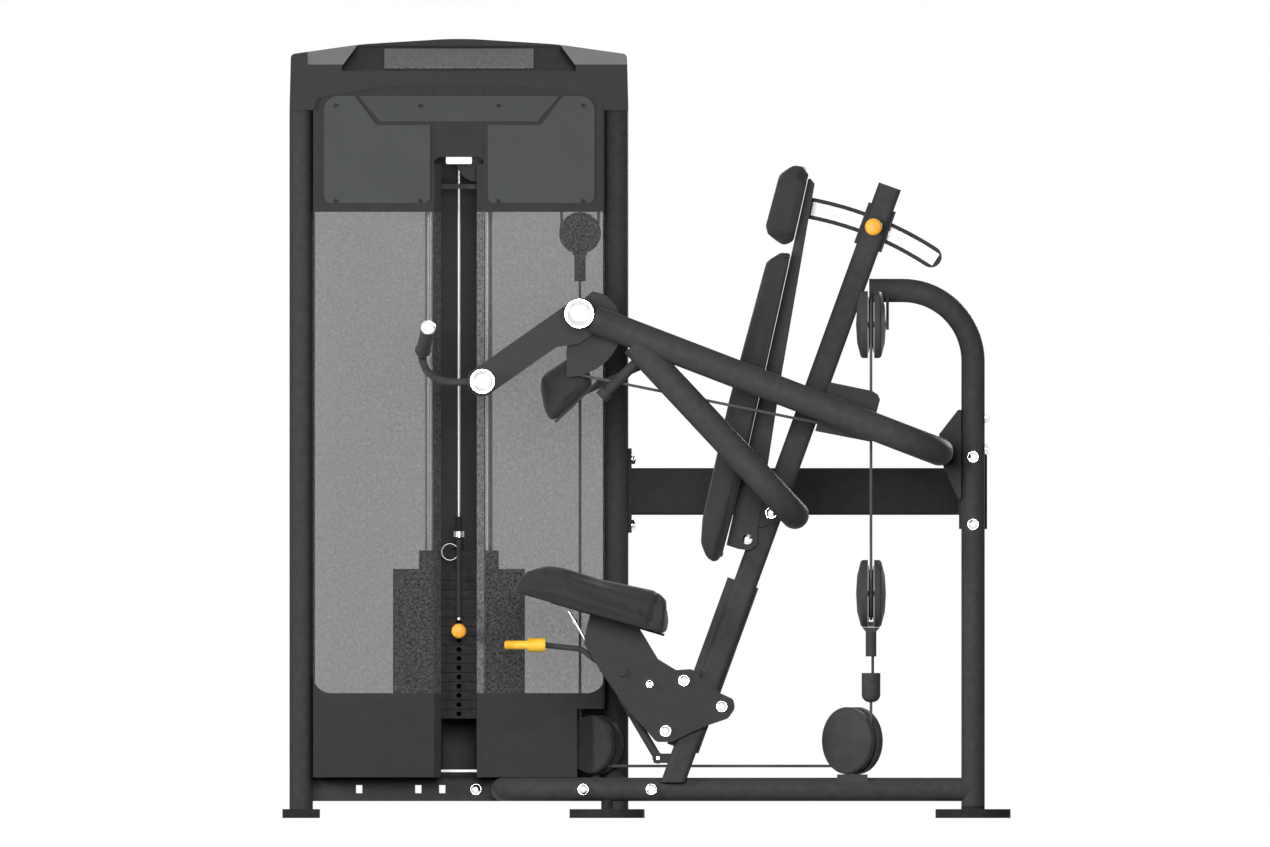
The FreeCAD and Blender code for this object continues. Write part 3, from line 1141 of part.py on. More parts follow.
def pulleyCovers():
    shapes = []
    planTurn = math.degrees(math.atan2(plan.y, plan.x))
    for centre, size, dome in ((FLOOR_CENTRE, "cover_size", True), (LOW_CENTRE, "low_cover", False)):
        covers, axle = coverShapes(centre, planAxis, size, dome)
        shapes += covers + [axle]
    # the floor pulley stands on the base rail, the low one on the tower's base bar
    base = num(RAIL_TOP)
    size, flange = num("tube_size"), num("flange_wall")
    footAt = Vec(FLOOR_CENTRE.x, num("seat_y"), base + flange / 2 - size * 0.1)
    rail = Part.makeCylinder(num("bar_size") / 2, 6 * size, spot(FLOOR_CENTRE.x - 3 * size, "seat_y", RAIL_MID),
                             ALONG_X)
    rise = FLOOR_CENTRE.z - num("cover_size") / 2 - base - flange
    gap = num("wheel_width") + 2 * num("play")
    postAt = Vec(FLOOR_CENTRE.x, FLOOR_CENTRE.y - size * 0.35, base + flange + rise * 0.75)
    post = solidBox(postAt, size * 0.8, gap, rise * 1.5, planTurn)
    rest = post.cut(Part.makeCompound(shapes))
    shapes += [solidBox(footAt, size * 1.3, size * 0.8, flange + size * 0.2).cut(rail), rest]
    corner = Vec(LOW_CENTRE.x - size * 0.15, LOW_CENTRE.y + size * 0.3, base)
    bracket = Part.makeBox(size * 0.3, num("tower_y") - size / 2 - LOW_CENTRE.y + size * 0.2, flange, corner)
    lowRise = LOW_CENTRE.z - num("low_cover") / 2 - base
    tab = Part.makeBox(size * 0.3, size * 0.5, lowRise + size * 0.4, corner)
    lowCovers = Part.makeCompound(coverShapes(LOW_CENTRE, planAxis, "low_cover", False)[0])
    clearance = Part.makeCylinder(num("low_wheel") * 1.03, 2 * gap, LOW_CENTRE - planAxis * gap, planAxis)
    shapes.append(bracket.fuse(tab).removeSplitter().cut([lowCovers, clearance]))
    for sign in (-1, 1):
        covers, axle = coverShapes(topCentre(sign), ALONG_X, "cover_size")
        shapes += covers + [axle]
    # a strap behind both top pulleys, hung from the rear upright's top run
    back = num("wheel_width") / 2 + num("play") * 1.5 + num("cover_wall") + num("dome_rise")
    wall = 2 * num("sheet_wall")
    strapX = num("seat_line_x") + back + wall / 2
    above, level = num("upright_top"), num("top_pulley_z")
    strap = solidBox(Vec(strapX, num("seat_y"), level), wall,
                     2 * num("box_offset") - 2 * num("big_groove") + size * 0.4, size * 0.44)
    hang = solidBox(Vec(strapX, num("seat_y"), (above + level) / 2), wall, size * 0.9, above - level)
    run = Part.makeCylinder(size / 2, 4 * size, Vec(strapX - 2 * size, num("seat_y"), above), ALONG_X)
    shapes.append(strap.fuse(hang).removeSplitter().cut(run))
    return Part.makeCompound(shapes)


feature("pulley_covers", pulleyCovers())


# side plates either side of each box pulley, and the bar behind the column that carries them
def pulleyBox():
    unit = num("small_wheel")
    plateShares = [(-1.13, 1.4), (0.95, 0.97), (1.2, 0.8), (1.31, 0.56), (1.11, -0.18), (0.88, -1.47), (-1.8, -0.95)]
    shapes = []
    wall = num("sheet_wall") * 2
    half = num("wheel_width") / 2 + num("sheet_wall")
    axle = num("axle_size") / 2
    for sign in (-1, 1):
        centre = boxCentre(sign)
        for near in (-half - wall, half):
            ring = [Vec(centre.x + u * unit, centre.y + near, centre.z + w * unit) for u, w in plateShares]
            plate = Part.Face(Part.makePolygon(ring + [ring[0]])).extrude(Vec(0, wall, 0))
            shapes.append(plate.cut(Part.makeCylinder(axle, 4 * half, centre - Vec(0, 2 * half, 0), ALONG_Y)))
        end = centre - Vec(0, half + 1.5 * wall, 0)
        shapes.append(Part.makeCylinder(axle, 2 * half + 3 * wall, end, ALONG_Y))
    inner = num("box_offset") - half - wall
    side, height = num("tube_size"), num("bar_size") * 0.6
    frontX, lowZ = num(BOX_X) - unit * 1.22, num("box_pulley_z") - unit * 0.55
    bar = Part.makeBox(num("bar_size") / 2, 2 * inner, height, Vec(frontX, num("seat_y") - inner, lowZ))
    arm = Part.makeBox(side, side, height, Vec(frontX - side, num("seat_y") - side / 2, lowZ))
    solid = Part.makeBox(side, num("column_depth"), num("column_length"), Vec(-side / 2, -num("column_depth") / 2, 0))
    solid.rotate(Vec(), ALONG_Y, num("column_tilt"))
    solid.translate(spot("column_foot_x", "seat_y", RAIL_TOP))
    shapes.append(bar.fuse(arm).removeSplitter().cut(solid))
    return Part.makeCompound(shapes)


feature("pulley_box", pulleyBox())


# cable round half of a wheel, from centre + a over centre + b to centre - a
def halfRing(centre, a, b, size):
    return sweep([arc(centre + a, centre + b, centre - a)], size)


# covers, strap, sleeve, hook and yoke of the pulley between the two arms' cables
def floatingBlock():
    covers, axle = coverShapes(FLOAT_CENTRE, ALONG_X, "cover_size")
    size, cable = num("tube_size"), num("cable_size")
    rim = num("cover_size") / 2
    x, y, z = FLOAT_CENTRE.x, FLOAT_CENTRE.y, FLOAT_CENTRE.z
    gap = num("wheel_width") + 2 * num("play")
    tab = solidBox(Vec(x, y, z - rim + cable), gap, size * 0.7, cable * 1.8)
    tab = tab.cut(Part.makeCompound(covers))
    trap = [Vec(x + size * across, y - size * 0.18, z - rim - cable * down)
            for across, down in ((-0.38, 0.1), (0.38, 0.1), (0.22, 1.7), (-0.22, 1.7))]
    strap = Part.Face(Part.makePolygon(trap + [trap[0]])).extrude(Vec(0, size * 0.36, 0))
    sleeveTop = z - rim - cable * 1.7
    sleeve = Part.makeCylinder(size * 0.23, size * 1.05, Vec(x, y, sleeveTop - size * 1.05), UP)
    hookTop = sleeveTop - size * 1.05
    hook = Part.makeCylinder(cable * 0.5, size * 0.72, Vec(x + cable * 0.6, y, hookTop - size * 0.72), UP)
    yokeTop = hookTop - size * 0.7
    yoke = Part.makeCylinder(size * 0.4, size * 1.25, Vec(x, y, yokeTop - size * 1.25), UP)
    yoke = yoke.makeFillet(size * 0.34, [min(yoke.Edges, key=lambda e: e.CenterOfMass.z)])
    bore = Part.makeCylinder(size * 0.24, size * 0.75, Vec(x, y, yokeTop - size * 0.75), UP)
    cross = Part.makeCylinder(cable, size, Vec(x, y - size * 0.5, yokeTop - size * 0.3), ALONG_Y)
    hook = hook.cut(cross)
    yoke = yoke.cut([bore, cross])
    ring = halfRing(FLOAT_CENTRE, Vec(0, -num("big_groove"), 0), Vec(0, 0, -num("big_groove")), cable)
    tab = tab.cut(ring)
    return Part.makeCompound(covers + [axle, tab, strap, sleeve, hook, yoke, cross, ring]), yokeTop - size * 1.25


floatingShape, YOKE_BASE = floatingBlock()
feature("floating_block", floatingShape)


def towerFloatingBlock():
    size, cable = num("tube_size"), num("cable_size")
    half = num("wheel_width") / 2 + num("play")
    wall = num("sheet_wall")
    c = TOWER_FLOAT
    low = num("small_wheel") + wall
    plates = [Part.makeBox(size * 0.6, wall, low + size * 0.4, Vec(c.x - size * 0.3, c.y + y, c.z - low))
              for y in (-half - wall, half)]
    bridge = Part.makeBox(size * 0.6, 2 * half, wall, Vec(c.x - size * 0.3, c.y - half, c.z - low))
    axle = Part.makeCylinder(num("axle_size") / 2, 2 * (half + 2 * wall), c - Vec(0, half + 2 * wall, 0), ALONG_Y)
    stem = Part.makeCylinder(size * 0.24, size * 1.1, Vec(c.x, c.y, c.z - low - size * 1.1), UP)
    body = bridge.fuse(plates).removeSplitter().cut(axle)
    ring = halfRing(c, Vec(-num("small_groove"), 0, 0), Vec(0, 0, -num("small_groove")), cable)
    return Part.makeCompound([body, axle, stem, ring]), c.z - low - size * 1.1


towerShape, STEM_BASE = towerFloatingBlock()
feature("tower_floating_block", towerShape)


# Cables: fixed stretches, the runs that swing with the cams, and the stretches that change length
def barBetween(a, b, size):
    return Part.makeCylinder(size / 2, (b - a).Length, a, b - a)


def fixedCables():
    cable = num("cable_size")
    g, s = num("small_groove"), num("big_groove")
    first, second = spot(FIRST_X, "stack_y", "tower_pulley_z"), spot(SECOND_X, "stack_y", "tower_pulley_z")
    q = math.sqrt(0.5)
    over = [arc(first - Vec(g, 0, 0), first + Vec(-g * q, 0, g * q), first + Vec(0, 0, g)),
            line(first + Vec(0, 0, g), second + Vec(0, 0, g)),
            arc(second + Vec(0, 0, g), second + Vec(g * q, 0, g * q), second + Vec(g, 0, 0))]
    shapes = [sweep(over, cable)]
    anchor = spot("tower_line_x + small_groove", "stack_y", "tower_pulley_z")
    shapes.append(barBetween(anchor, raised(anchor, "beam_top - bar_size"), cable))
    low = num("low_groove")
    under = [arc(LOW_CENTRE + plan * low, LOW_CENTRE + plan * low * q - UP * low * q, LOW_CENTRE - UP * low),
             line(LOW_CENTRE - UP * low, FLOOR_CENTRE - UP * s),
             arc(FLOOR_CENTRE - UP * s, FLOOR_CENTRE - plan * s * q - UP * s * q, FLOOR_CENTRE - plan * s)]
    shapes.append(sweep(under, cable))
    slope = math.radians(cableSlope(num("cam_large")))
    middle = (math.pi / 2 - slope) / 2
    for sign in (-1, 1):
        wheel, top = boxCentre(sign), topCentre(sign)
        start = wheel + Vec(-g * math.sin(slope), 0, -g * math.cos(slope))
        through, end = wheel + Vec(g * math.sin(middle), 0, -g * math.cos(middle)), wheel + Vec(g, 0, 0)
        rise = [arc(start, through, end), line(end, top + Vec(0, sign * s, 0))]
        shapes.append(sweep(rise, cable))
        shapes.append(halfRing(top, Vec(0, sign * s, 0), Vec(0, 0, s), cable))
    return Part.makeCompound(shapes)


feature("fixed_cables", fixedCables())


def cableRun(sign):
    slope = math.radians(cableSlope(num("cam_large")))
    down = Vec(-math.sin(slope), 0, -math.cos(slope))
    hubAt = Vec(num("hub_x"), num("seat_y") + sign * num("cam_offset"), num("hub_z"))
    start, end = hubAt + down * num("cam_large"), boxCentre(sign) + down * num("small_groove")
    along = (end - start).normalize()
    return barBetween(start, end - along * num("play"), num("cable_size"))


feature("cable_run_left", cableRun(-1))
feature("cable_run_right", cableRun(1))
cableSize = num("cable_size")
stackLine = spot("tower_x", "stack_y", "0")
feature("stack_strand", barBetween(raised(stackLine, STRAND_BASE), raised(stackLine, "tower_pulley_z"), cableSize))


def towerStrand(sign):
    start = TOWER_FLOAT + Vec(sign * num("small_groove"), 0, 0)
    return barBetween(start, raised(start, "tower_pulley_z"), cableSize)


# from a top pulley down to the floating one, short of both wheels' own cable by a little play
def floatingStrand(sign):
    start = FLOAT_CENTRE + Vec(0, sign * num("big_groove"), num("play"))
    return barBetween(start, topCentre(sign) - Vec(0, sign * num("big_groove"), num("play")), cableSize)


feature("tower_strands_upper", Part.makeCompound([towerStrand(sign) for sign in (-1, 1)]))
feature("tower_strand_lower", barBetween(raised(TOWER_LINE, "floor_line_z + low_groove"),
                                         raised(TOWER_LINE, STEM_BASE), cableSize))
feature("floating_strands", Part.makeCompound([floatingStrand(sign) for sign in (-1, 1)]))
feature("floating_strand_lower", barBetween(raised(SEAT_LINE, "floor_line_z + big_groove"),
                                            raised(SEAT_LINE, YOKE_BASE), cableSize))


# Seat: a carriage that runs on the column, its pad, the release lever and the gas strut
# outline texts of pairs given as shares of a size, measured from a named place
def shareTexts(shares, x, z, size):
    texts = []
    for share in shares:
        point = ("%s + %s * (%g)" % (x, size, share[0]), "%s + %s * (%g)" % (z, size, share[1]))
        texts.append(point + tuple("%s * %g" % (size, r) for r in share[2:]))
    return texts


def carriageSpot(u, w):
    return shareTexts([(u, w)], "carriage_x", "carriage_z", "carriage_size")[0]


CARRIAGE = ("carriage_x", "carriage_z", "carriage_size")
sidePlateShares = [
    (-1.576, 2.4777), (-1.661, 2.151), (-1.704, 1.853, 0.100), (-1.310, 1.214), (-0.745, 0.405),
    (-0.383, 0.021, 0.200), (-0.170, -0.234, 0.150), (0.170, -0.234, 0.150), (0.554, -0.043), (0.959, 0.128),
    (1.363, 0.266, 0.150), (1.523, 0.490, 0.200), (1.470, 0.682, 0.100), (1.193, 0.809), (0.767, 1.129),
    (0.618, 1.321, 0.150), (0.256, 1.299), (-0.128, 1.534), (-0.447, 2.066), (-0.511, 2.1672)]
padShares = [(-3.195, 3.003), (-2.961, 3.387), (-2.620, 3.493), (-2.173, 3.451), (-1.321, 3.195), (0.000, 2.918),
             (0.149, 2.812), (0.021, 2.066)]
boardShares = [(-2.4, 2.771), (0.015, 2.067), (0.001, 2.018), (-2.414, 2.722)]
LEVER_AT = carriageSpot(-1.235, 1.342)
STRUT_TOP = carriageSpot(-1.427, 1.619)
STRUT_FOOT = carriageSpot(-0.128, -0.575)
glideSpots = [("tube_size * 4.02", "-tube_size * 0.51 - strip_wall - axle_size"),
              ("tube_size * 1.73", "-tube_size * 0.51 - strip_wall - axle_size"),
              ("tube_size * 3.53", "tube_size / 2 + strip_wall / 3 + play + axle_size")]


def seatCarriage():
    pieces = []
    outer = "seat_plate_offset + seat_plate_wall"
    for s in "-+":
        y = "seat_y %s (seat_plate_offset + seat_plate_wall / 2)" % s
        pieces.append(prism(shareTexts(sidePlateShares, *CARRIAGE), "seat_plate_wall", ("0", y, "0")))
    pieces.append(prism(shareTexts(boardShares, *CARRIAGE), "seat_width * 0.5", ("0", "seat_y", "0")))
    for along, across in glideSpots:
        x, y, z = columnAt(along, across)
        pieces.append(rod("2 * axle_size", "2 * seat_plate_offset", (x, "seat_y - seat_plate_offset", z), "Y"))
        for s in "-+":
            y0, y1 = outward(s, outer, outer + " + bolt_height")
            pieces.append(rod("bolt_size", "bolt_height", (x, y0, z), "Y"))
    for (x, z), length in ((LEVER_AT, "seat_plate_offset - strut_size"), (STRUT_TOP, "2 * seat_plate_offset")):
        pieces.append(rod("strut_rod", length, (x, "seat_y - seat_plate_offset", z), "Y"))
    near = outward("-", outer, outer + " + bolt_height")[0]
    for u, w, size in ((-0.309, 1.001, "bolt_size * 0.65"), (-0.895, 1.257, "bolt_size * 0.8")):
        x, z = carriageSpot(u, w)
        pieces.append(rod(size, "bolt_height", (x, near, z), "Y"))
    return compound(*pieces)


carriageBase = seatCarriage()


# A thin stay from the board under the pad down to the carriage's near plate
def stayRod():
    (highX, highZ), (lowX, lowZ) = carriageSpot(-2.03, 2.56), carriageSpot(-1.66, 1.917)
    a, b = spot(highX, "seat_y + column_depth * 0.35", highZ), spot(lowX, "seat_y + column_depth * 0.35", lowZ)
    low = spot(lowX, "seat_y + seat_plate_offset", lowZ)
    size = num("strut_rod") * 0.7
    bar = sweep(route([a, b, low], size * 1.2), size)
    nut = Part.makeCylinder(size, size * 1.2, a + (b - a) * 0.3, b - a).cut(bar)
    return Part.makeCompound([bar, nut])


part("seat_carriage", compound(carriageBase, feature(None, stayRod())))
padPoints = [spot(x, "0", z) for x, z in shareTexts(padShares, *CARRIAGE)]
feature("seat_pad", cushion(padPoints, num("seat_y"), num("seat_width"), (0, 7)))


def releaseLever():
    size = num("lever_rod")
    y = "seat_y - column_depth * 0.35"
    hubAt = spot(LEVER_AT[0], y, LEVER_AT[1])
    bend, end = [spot(x, y, z) for x, z in (carriageSpot(-1.768, 1.747), carriageSpot(-2.577, 1.832))]
    out = (hubAt - bend).normalize()
    bar = sweep(route([end, bend, hubAt - out * size], size * 2), size)
    hubRing = Part.makeCylinder(size * 1.2, size * 1.6, hubAt - Vec(0, size * 0.8, 0), ALONG_Y)
    boreSize = num("strut_rod") / 2 + num("pin_play") * 0.6
    bore = Part.makeCylinder(boreSize, size * 3, hubAt - Vec(0, size * 1.5, 0), ALONG_Y)
    knuckle = Part.makeCylinder(size * 1.25, size * 3.1, end + Vec(size * 0.4, 0, 0), Vec(-1, 0, 0))
    gripBar = Part.makeCylinder(size * 0.8, size * 4.2, end - Vec(size * 2.7, 0, 0), Vec(-1, 0, 0))
    gripBar = gripBar.makeFillet(size * 0.5, [min(gripBar.Edges, key=lambda e: e.CenterOfMass.x)])
    body = bar.fuse([hubRing, knuckle]).removeSplitter().cut(bore)
    return Part.makeCompound([body, gripBar.cut(knuckle)])


feature("release_lever", releaseLever())


def strutParts():
    foot, top = [spot(x, "seat_y", z) for x, z in (STRUT_FOOT, STRUT_TOP)]
    along = (top - foot).normalize()
    length = (top - foot).Length
    size, thin, eye = num("strut_size"), num("strut_rod"), num("eye_size")
    cylinder = Part.makeCylinder(size / 2, length * 0.58, foot + along * eye * 0.3, along)
    bore = Part.makeCylinder(thin / 2 + num("pin_play") * 0.7, length, foot + along * length * 0.12, along)
    footEye = Part.makeCylinder(eye / 2, size * 0.8, foot - Vec(0, size * 0.4, 0), ALONG_Y)
    pinBore = Part.makeCylinder(thin / 2 + num("pin_play") * 0.6, 2 * size, foot - Vec(0, size, 0), ALONG_Y)
    lower = cylinder.fuse(footEye).removeSplitter().cut([bore, pinBore])
    # the rod's eye is wide, as the carriage runs straight while the strut swings
    wide = Part.makeCylinder(eye * 0.36, 2 * size, top - Vec(0, size, 0), ALONG_Y)
    upper = Part.makeCylinder(thin / 2, length * 0.76, foot + along * length * 0.2, along)
    topEye = Part.makeCylinder(eye * 0.6, size, top - Vec(0, size / 2, 0), ALONG_Y)
    return lower, upper.fuse(topEye).removeSplitter().cut(wide)


strutCylinder, strutRod = strutParts()
feature("strut_cylinder", strutCylinder)
feature("strut_rod", strutRod)


# two ears on the column's front with the strut's lower pin
def strutFoot():
    x, z = STRUT_FOOT
    ears = []
    for s in "-+":
        y0, y1 = outward(s, "strut_size / 2 + 2 * play", "strut_size / 2 + 2 * play + seat_plate_wall")
        ear = box(x + " - eye_size * 0.4", x + " + tube_size", y0, y1, z + " - eye_size * 0.45",
                  z + " + eye_size * 0.4")
        ears.append(cut(ear, columnBar()))
    pinY = "seat_y - strut_size / 2 - 1.5 * seat_plate_wall"
    lowerPin = rod("strut_rod", "strut_size + 3 * seat_plate_wall", (x, pinY, z), "Y")
    return [cut(ear, lowerPin) for ear in ears] + [lowerPin]


# Backrest: a channel hinged on the column, two pads, and the quadrant that the lock pin holds
BACK_PLACE = ("pivot_x", "pivot_z", "quadrant_size")
sideShares = [
    (0.178, 1.058), (0.182, 1.077, 0.005), (0.200, 1.055, 0.005), (0.100, 0.479), (0.044, 0.108),
    (0.030, 0.031, 0.020), (0.030, -0.017, 0.010), (0.005, -0.033, 0.010), (-0.028, -0.028), (-0.062, -0.017, 0.004)]
webShares = [(-0.060, -0.011), (0.178, 1.058), (0.185, 1.056), (-0.053, -0.012)]
mainShares = [(-0.051, 0.414), (0.064, 0.841), (0.100, 0.862), (0.130, 0.850), (-0.061, -0.012), (-0.093, -0.076),
              (-0.117, -0.061), (-0.139, 0.001), (-0.131, 0.058)]
headShares = [(0.050, 0.903), (0.100, 1.090), (0.136, 1.117), (0.168, 1.111), (0.184, 1.090), (0.136, 0.880),
              (0.106, 0.871)]
wedgeShares = [(0.111, 0.710), (0.209, 1.155), (0.631, 1.155), (0.695, 1.070), (0.404, 0.622)]


def backFrame():
    pieces = []
    pinBar = rod("axle_size", "2 * back_plate_offset + 2 * back_plate_wall + 2 * bolt_height",
                 ("pivot_x", "seat_y - back_plate_offset - back_plate_wall - bolt_height", "pivot_z"), "Y")
    for s in "-+":
        y = "seat_y %s (back_plate_offset + back_plate_wall / 2)" % s
        pieces.append(cut(prism(shareTexts(sideShares, *BACK_PLACE), "back_plate_wall", ("0", y, "0")), pinBar))
    pieces.append(prism(shareTexts(webShares, *BACK_PLACE), "2 * back_plate_offset", ("0", "seat_y", "0")))
    outer = "back_plate_offset + back_plate_wall"
    for s in "-+":
        y0, y1 = outward(s, outer, outer + " + bolt_height")
        pieces.append(cut(rod("bolt_size", "bolt_height", ("pivot_x", y0, "pivot_z"), "Y"), pinBar))
    return compound(pinBar, *pieces)


part("backrest_frame", backFrame())
feature("back_pads", Part.makeCompound(
    [cushion([spot(x, "0", z) for x, z in shareTexts(shares, *BACK_PLACE)], num("seat_y"), num(width), flat)
     for shares, width, flat in ((mainShares, "back_width", (3, 4)), (headShares, "head_pad_width", (4, 5)))]))


def quadrant():
    wedge = prism(shareTexts(wedgeShares, *BACK_PLACE), "4 * quadrant_wall", ("0", "seat_y", "0"))
    endX = "pivot_x + quadrant_size * sin(quadrant_end)"
    endZ = "pivot_z + quadrant_size * cos(quadrant_end)"
    holes = []
    for step in range(-3, 4):
        turn = "(column_tilt + lock_lean + quadrant_pitch * (%d))" % step
        holes.append(rod("lock_size + 2 * play", "8 * quadrant_wall",
                         ("pivot_x + quadrant_size * sin%s" % turn, "seat_y - 4 * quadrant_wall",
                          "pivot_z + quadrant_size * cos%s" % turn), "Y"))
    band = tube("2 * quadrant_size + quadrant_width", "2 * quadrant_size - quadrant_width", "quadrant_wall",
                ("pivot_x", "seat_y - quadrant_wall / 2", "pivot_z"), "Y")
    tip = rod("quadrant_width", "quadrant_wall", (endX, "seat_y - quadrant_wall / 2", endZ), "Y")
    plate = cut(fuse(common(band, wedge), tip), *holes)
    stripWidth = "quadrant_width * 0.63"
    strip = tube("2 * quadrant_size + " + stripWidth, "2 * quadrant_size - " + stripWidth, "scale_wall",
                 ("pivot_x", "seat_y - quadrant_wall / 2 - scale_wall", "pivot_z"), "Y")
    scaleWedge = prism(shareTexts(wedgeShares, *BACK_PLACE), "4 * quadrant_wall", ("tube_size * 0.3", "seat_y", "0"))
    return compound(plate, cut(common(strip, scaleWedge), *holes))


part("quadrant", quadrant())
lockY = "seat_y - column_depth / 2 - strip_wall * 1.4 - knob_length"
lockReach = "seat_y - quadrant_wall / 2 - scale_wall - play - (%s)" % lockY
part("lock_pin", fuse(rod("lock_knob", "knob_length", (LOCK_X, lockY, LOCK_Z), "Y"),
                      rod("lock_size", lockReach, (LOCK_X, lockY, LOCK_Z), "Y")))


# Bolts that stay with the frame, and the ears of the strut
def frameBolts():
    pieces = strutFoot()
    rows = []
    nearRail = outward("-", "tube_size / 2", "tube_size / 2 + bolt_height")[0]
    for share in (-2.7, 0.2):
        rows.append(("tube_size * %g" % share, nearRail, RAIL_MID))
    rows.append(("tower_x + tower_width * 0.05", "tower_y - bar_size / 2 - bolt_height", RAIL_MID))
    for z in ("beam_base + beam_height * 1.24", "beam_base - beam_height * 0.2"):
        rows.append(("upright_x", nearRail, z))
    x, y, z = columnAt("tube_size * 12")
    ear = "column_depth / 2 + 2 * sheet_wall"
    pieces.append(rod("bolt_size", "sheet_wall / 2", (x, outward("-", ear, ear + " + sheet_wall / 2")[0], z), "Y"))
    pieces += [rod("bolt_size", "bolt_height", at, "Y") for at in rows]
    for z in ("beam_base + beam_height * 1.2", "beam_base - beam_height * 0.22"):
        pieces.append(rod("bolt_size", "bolt_height", (RIGHT + " + flange_wall", "tower_y", z), "X"))
    for z in ("beam_base + beam_height * 2.08", "beam_base + beam_height * 1.4"):
        pieces.append(rod("bolt_size", "bolt_height", ("upright_x + tube_size / 2", "seat_y", z), "X"))
    for share in (-0.365, -0.115, 0.115, 0.365):
        for z in ("window_top + slot_width * 0.22", "crown_base + slot_width * 0.09"):
            at = ("tower_x + tower_width * (%g)" % share, FRONT + " - 2 * placard_wall", z)
            pieces.append(rod("bolt_size / 3", "placard_wall", at, "Y"))
    return compound(*pieces)


part("frame_bolts", frameBolts())

doc.recompute()
os.makedirs("parts", exist_ok=True)
for obj in doc.Objects:
    if "Invalid" in obj.State or "Error" in obj.State:
        raise RuntimeError("%s did not rebuild: %s" % (obj.Label, obj.State))
for obj in parts:
    if obj.Shape.isNull() or not obj.Shape.isValid():
        raise RuntimeError("%s has no valid shape" % obj.Label)
for obj in parts:
    obj.Shape.exportStep("parts/%s.step" % obj.Label)
    print("%-24s %3d solids %10.0f mm3" % (obj.Label, len(obj.Shape.Solids), obj.Shape.Volume))
print(len(parts), "sub-parts")
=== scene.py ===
# Seated biceps curl machine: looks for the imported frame. Metres, Z up, the photograph looks along +Y.
import json
import math
import bmesh
import bpy
from mathutils import Matrix, Vector

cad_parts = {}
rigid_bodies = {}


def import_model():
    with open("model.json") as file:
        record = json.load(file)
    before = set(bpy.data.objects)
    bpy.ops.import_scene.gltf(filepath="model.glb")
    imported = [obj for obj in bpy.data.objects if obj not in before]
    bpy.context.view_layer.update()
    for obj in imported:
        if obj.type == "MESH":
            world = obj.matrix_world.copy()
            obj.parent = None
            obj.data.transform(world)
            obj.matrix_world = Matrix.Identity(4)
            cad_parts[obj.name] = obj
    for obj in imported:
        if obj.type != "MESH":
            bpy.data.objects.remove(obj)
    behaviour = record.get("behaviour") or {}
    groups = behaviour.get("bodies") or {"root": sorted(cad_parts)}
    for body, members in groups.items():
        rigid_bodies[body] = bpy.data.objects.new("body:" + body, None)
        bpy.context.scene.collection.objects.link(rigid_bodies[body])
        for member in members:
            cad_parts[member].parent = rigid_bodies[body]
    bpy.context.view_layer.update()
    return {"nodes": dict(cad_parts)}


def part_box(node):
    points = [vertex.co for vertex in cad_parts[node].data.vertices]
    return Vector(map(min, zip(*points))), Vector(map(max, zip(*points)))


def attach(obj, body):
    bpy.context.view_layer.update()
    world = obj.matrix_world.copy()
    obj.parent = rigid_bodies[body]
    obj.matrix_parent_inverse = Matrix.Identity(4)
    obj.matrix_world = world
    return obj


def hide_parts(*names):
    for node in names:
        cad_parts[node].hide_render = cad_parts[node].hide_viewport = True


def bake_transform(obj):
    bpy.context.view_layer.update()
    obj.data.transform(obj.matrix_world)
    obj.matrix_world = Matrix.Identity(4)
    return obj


scene = bpy.context.scene
for leftover in list(bpy.data.objects):
    bpy.data.objects.remove(leftover)
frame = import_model()
nodes = frame["nodes"]
# middle planes of the seat and of the tower
seatY, towerX = -0.1725, -0.3995
print("frame loaded")


# Materials: every pattern is scaled per metre, so a scale of 500 repeats about every 2 mm
# sRGB hex to linear colour
def linear(hexColor):
    parts = [int(hexColor[i:i + 2], 16) / 255 for i in (1, 3, 5)]
    return tuple([(c / 12.92 if c <= 0.04045 else ((c + 0.055) / 1.055) ** 2.4) for c in parts] + [1.0])


# one shader node, its settings, and its sockets by name, or by number as i0, i1 and so on
def addNode(tree, kind, settings=None, **sockets):
    node = tree.nodes.new(kind)
    for name, value in (settings or {}).items():
        setattr(node, name, value)
    for name, value in sockets.items():
        byNumber = name[0] == "i" and name[1:].isdigit()
        socket = node.inputs[int(name[1:]) if byNumber else name.replace("_", " ")]
        if isinstance(value, bpy.types.NodeSocket):
            tree.links.new(value, socket)
        else:
            socket.default_value = value
    return node


def newMaterial(name, hexColor, roughness, metallic=0.0, specular=0.12):
    material = bpy.data.materials.new(name)
    material.use_nodes = True
    tree = material.node_tree
    shader = tree.nodes["Principled BSDF"]
    shader.inputs["Base Color"].default_value = linear(hexColor)
    shader.inputs["Roughness"].default_value = roughness
    shader.inputs["Metallic"].default_value = metallic
    shader.inputs["Specular IOR Level"].default_value = specular if metallic == 0 else 0.5
    return material, tree, shader


def objectCoords(tree):
    return addNode(tree, "ShaderNodeTexCoord").outputs["Object"]


# two colours on a noise or another pattern
def toned(tree, shader, pattern, hexA, hexB, low=0.0, high=1.0):
    ramp = addNode(tree, "ShaderNodeValToRGB", Fac=pattern)
    for element, position, hexColor in zip(ramp.color_ramp.elements, (low, high), (hexA, hexB)):
        element.position = position
        element.color = linear(hexColor)
    tree.links.new(ramp.outputs["Color"], shader.inputs["Base Color"])


# two close colours mixed by noise of a real size
def mottled(tree, shader, hexA, hexB, scale, low=0.4, high=0.6, detail=2.0):
    noise = addNode(tree, "ShaderNodeTexNoise", Vector=objectCoords(tree), Scale=scale, Detail=detail)
    toned(tree, shader, noise.outputs["Fac"], hexA, hexB, low, high)


def bumpFrom(tree, shader, height, strength, distance):
    bump = addNode(tree, "ShaderNodeBump", Strength=strength, Distance=distance, Height=height)
    tree.links.new(bump.outputs["Normal"], shader.inputs["Normal"])


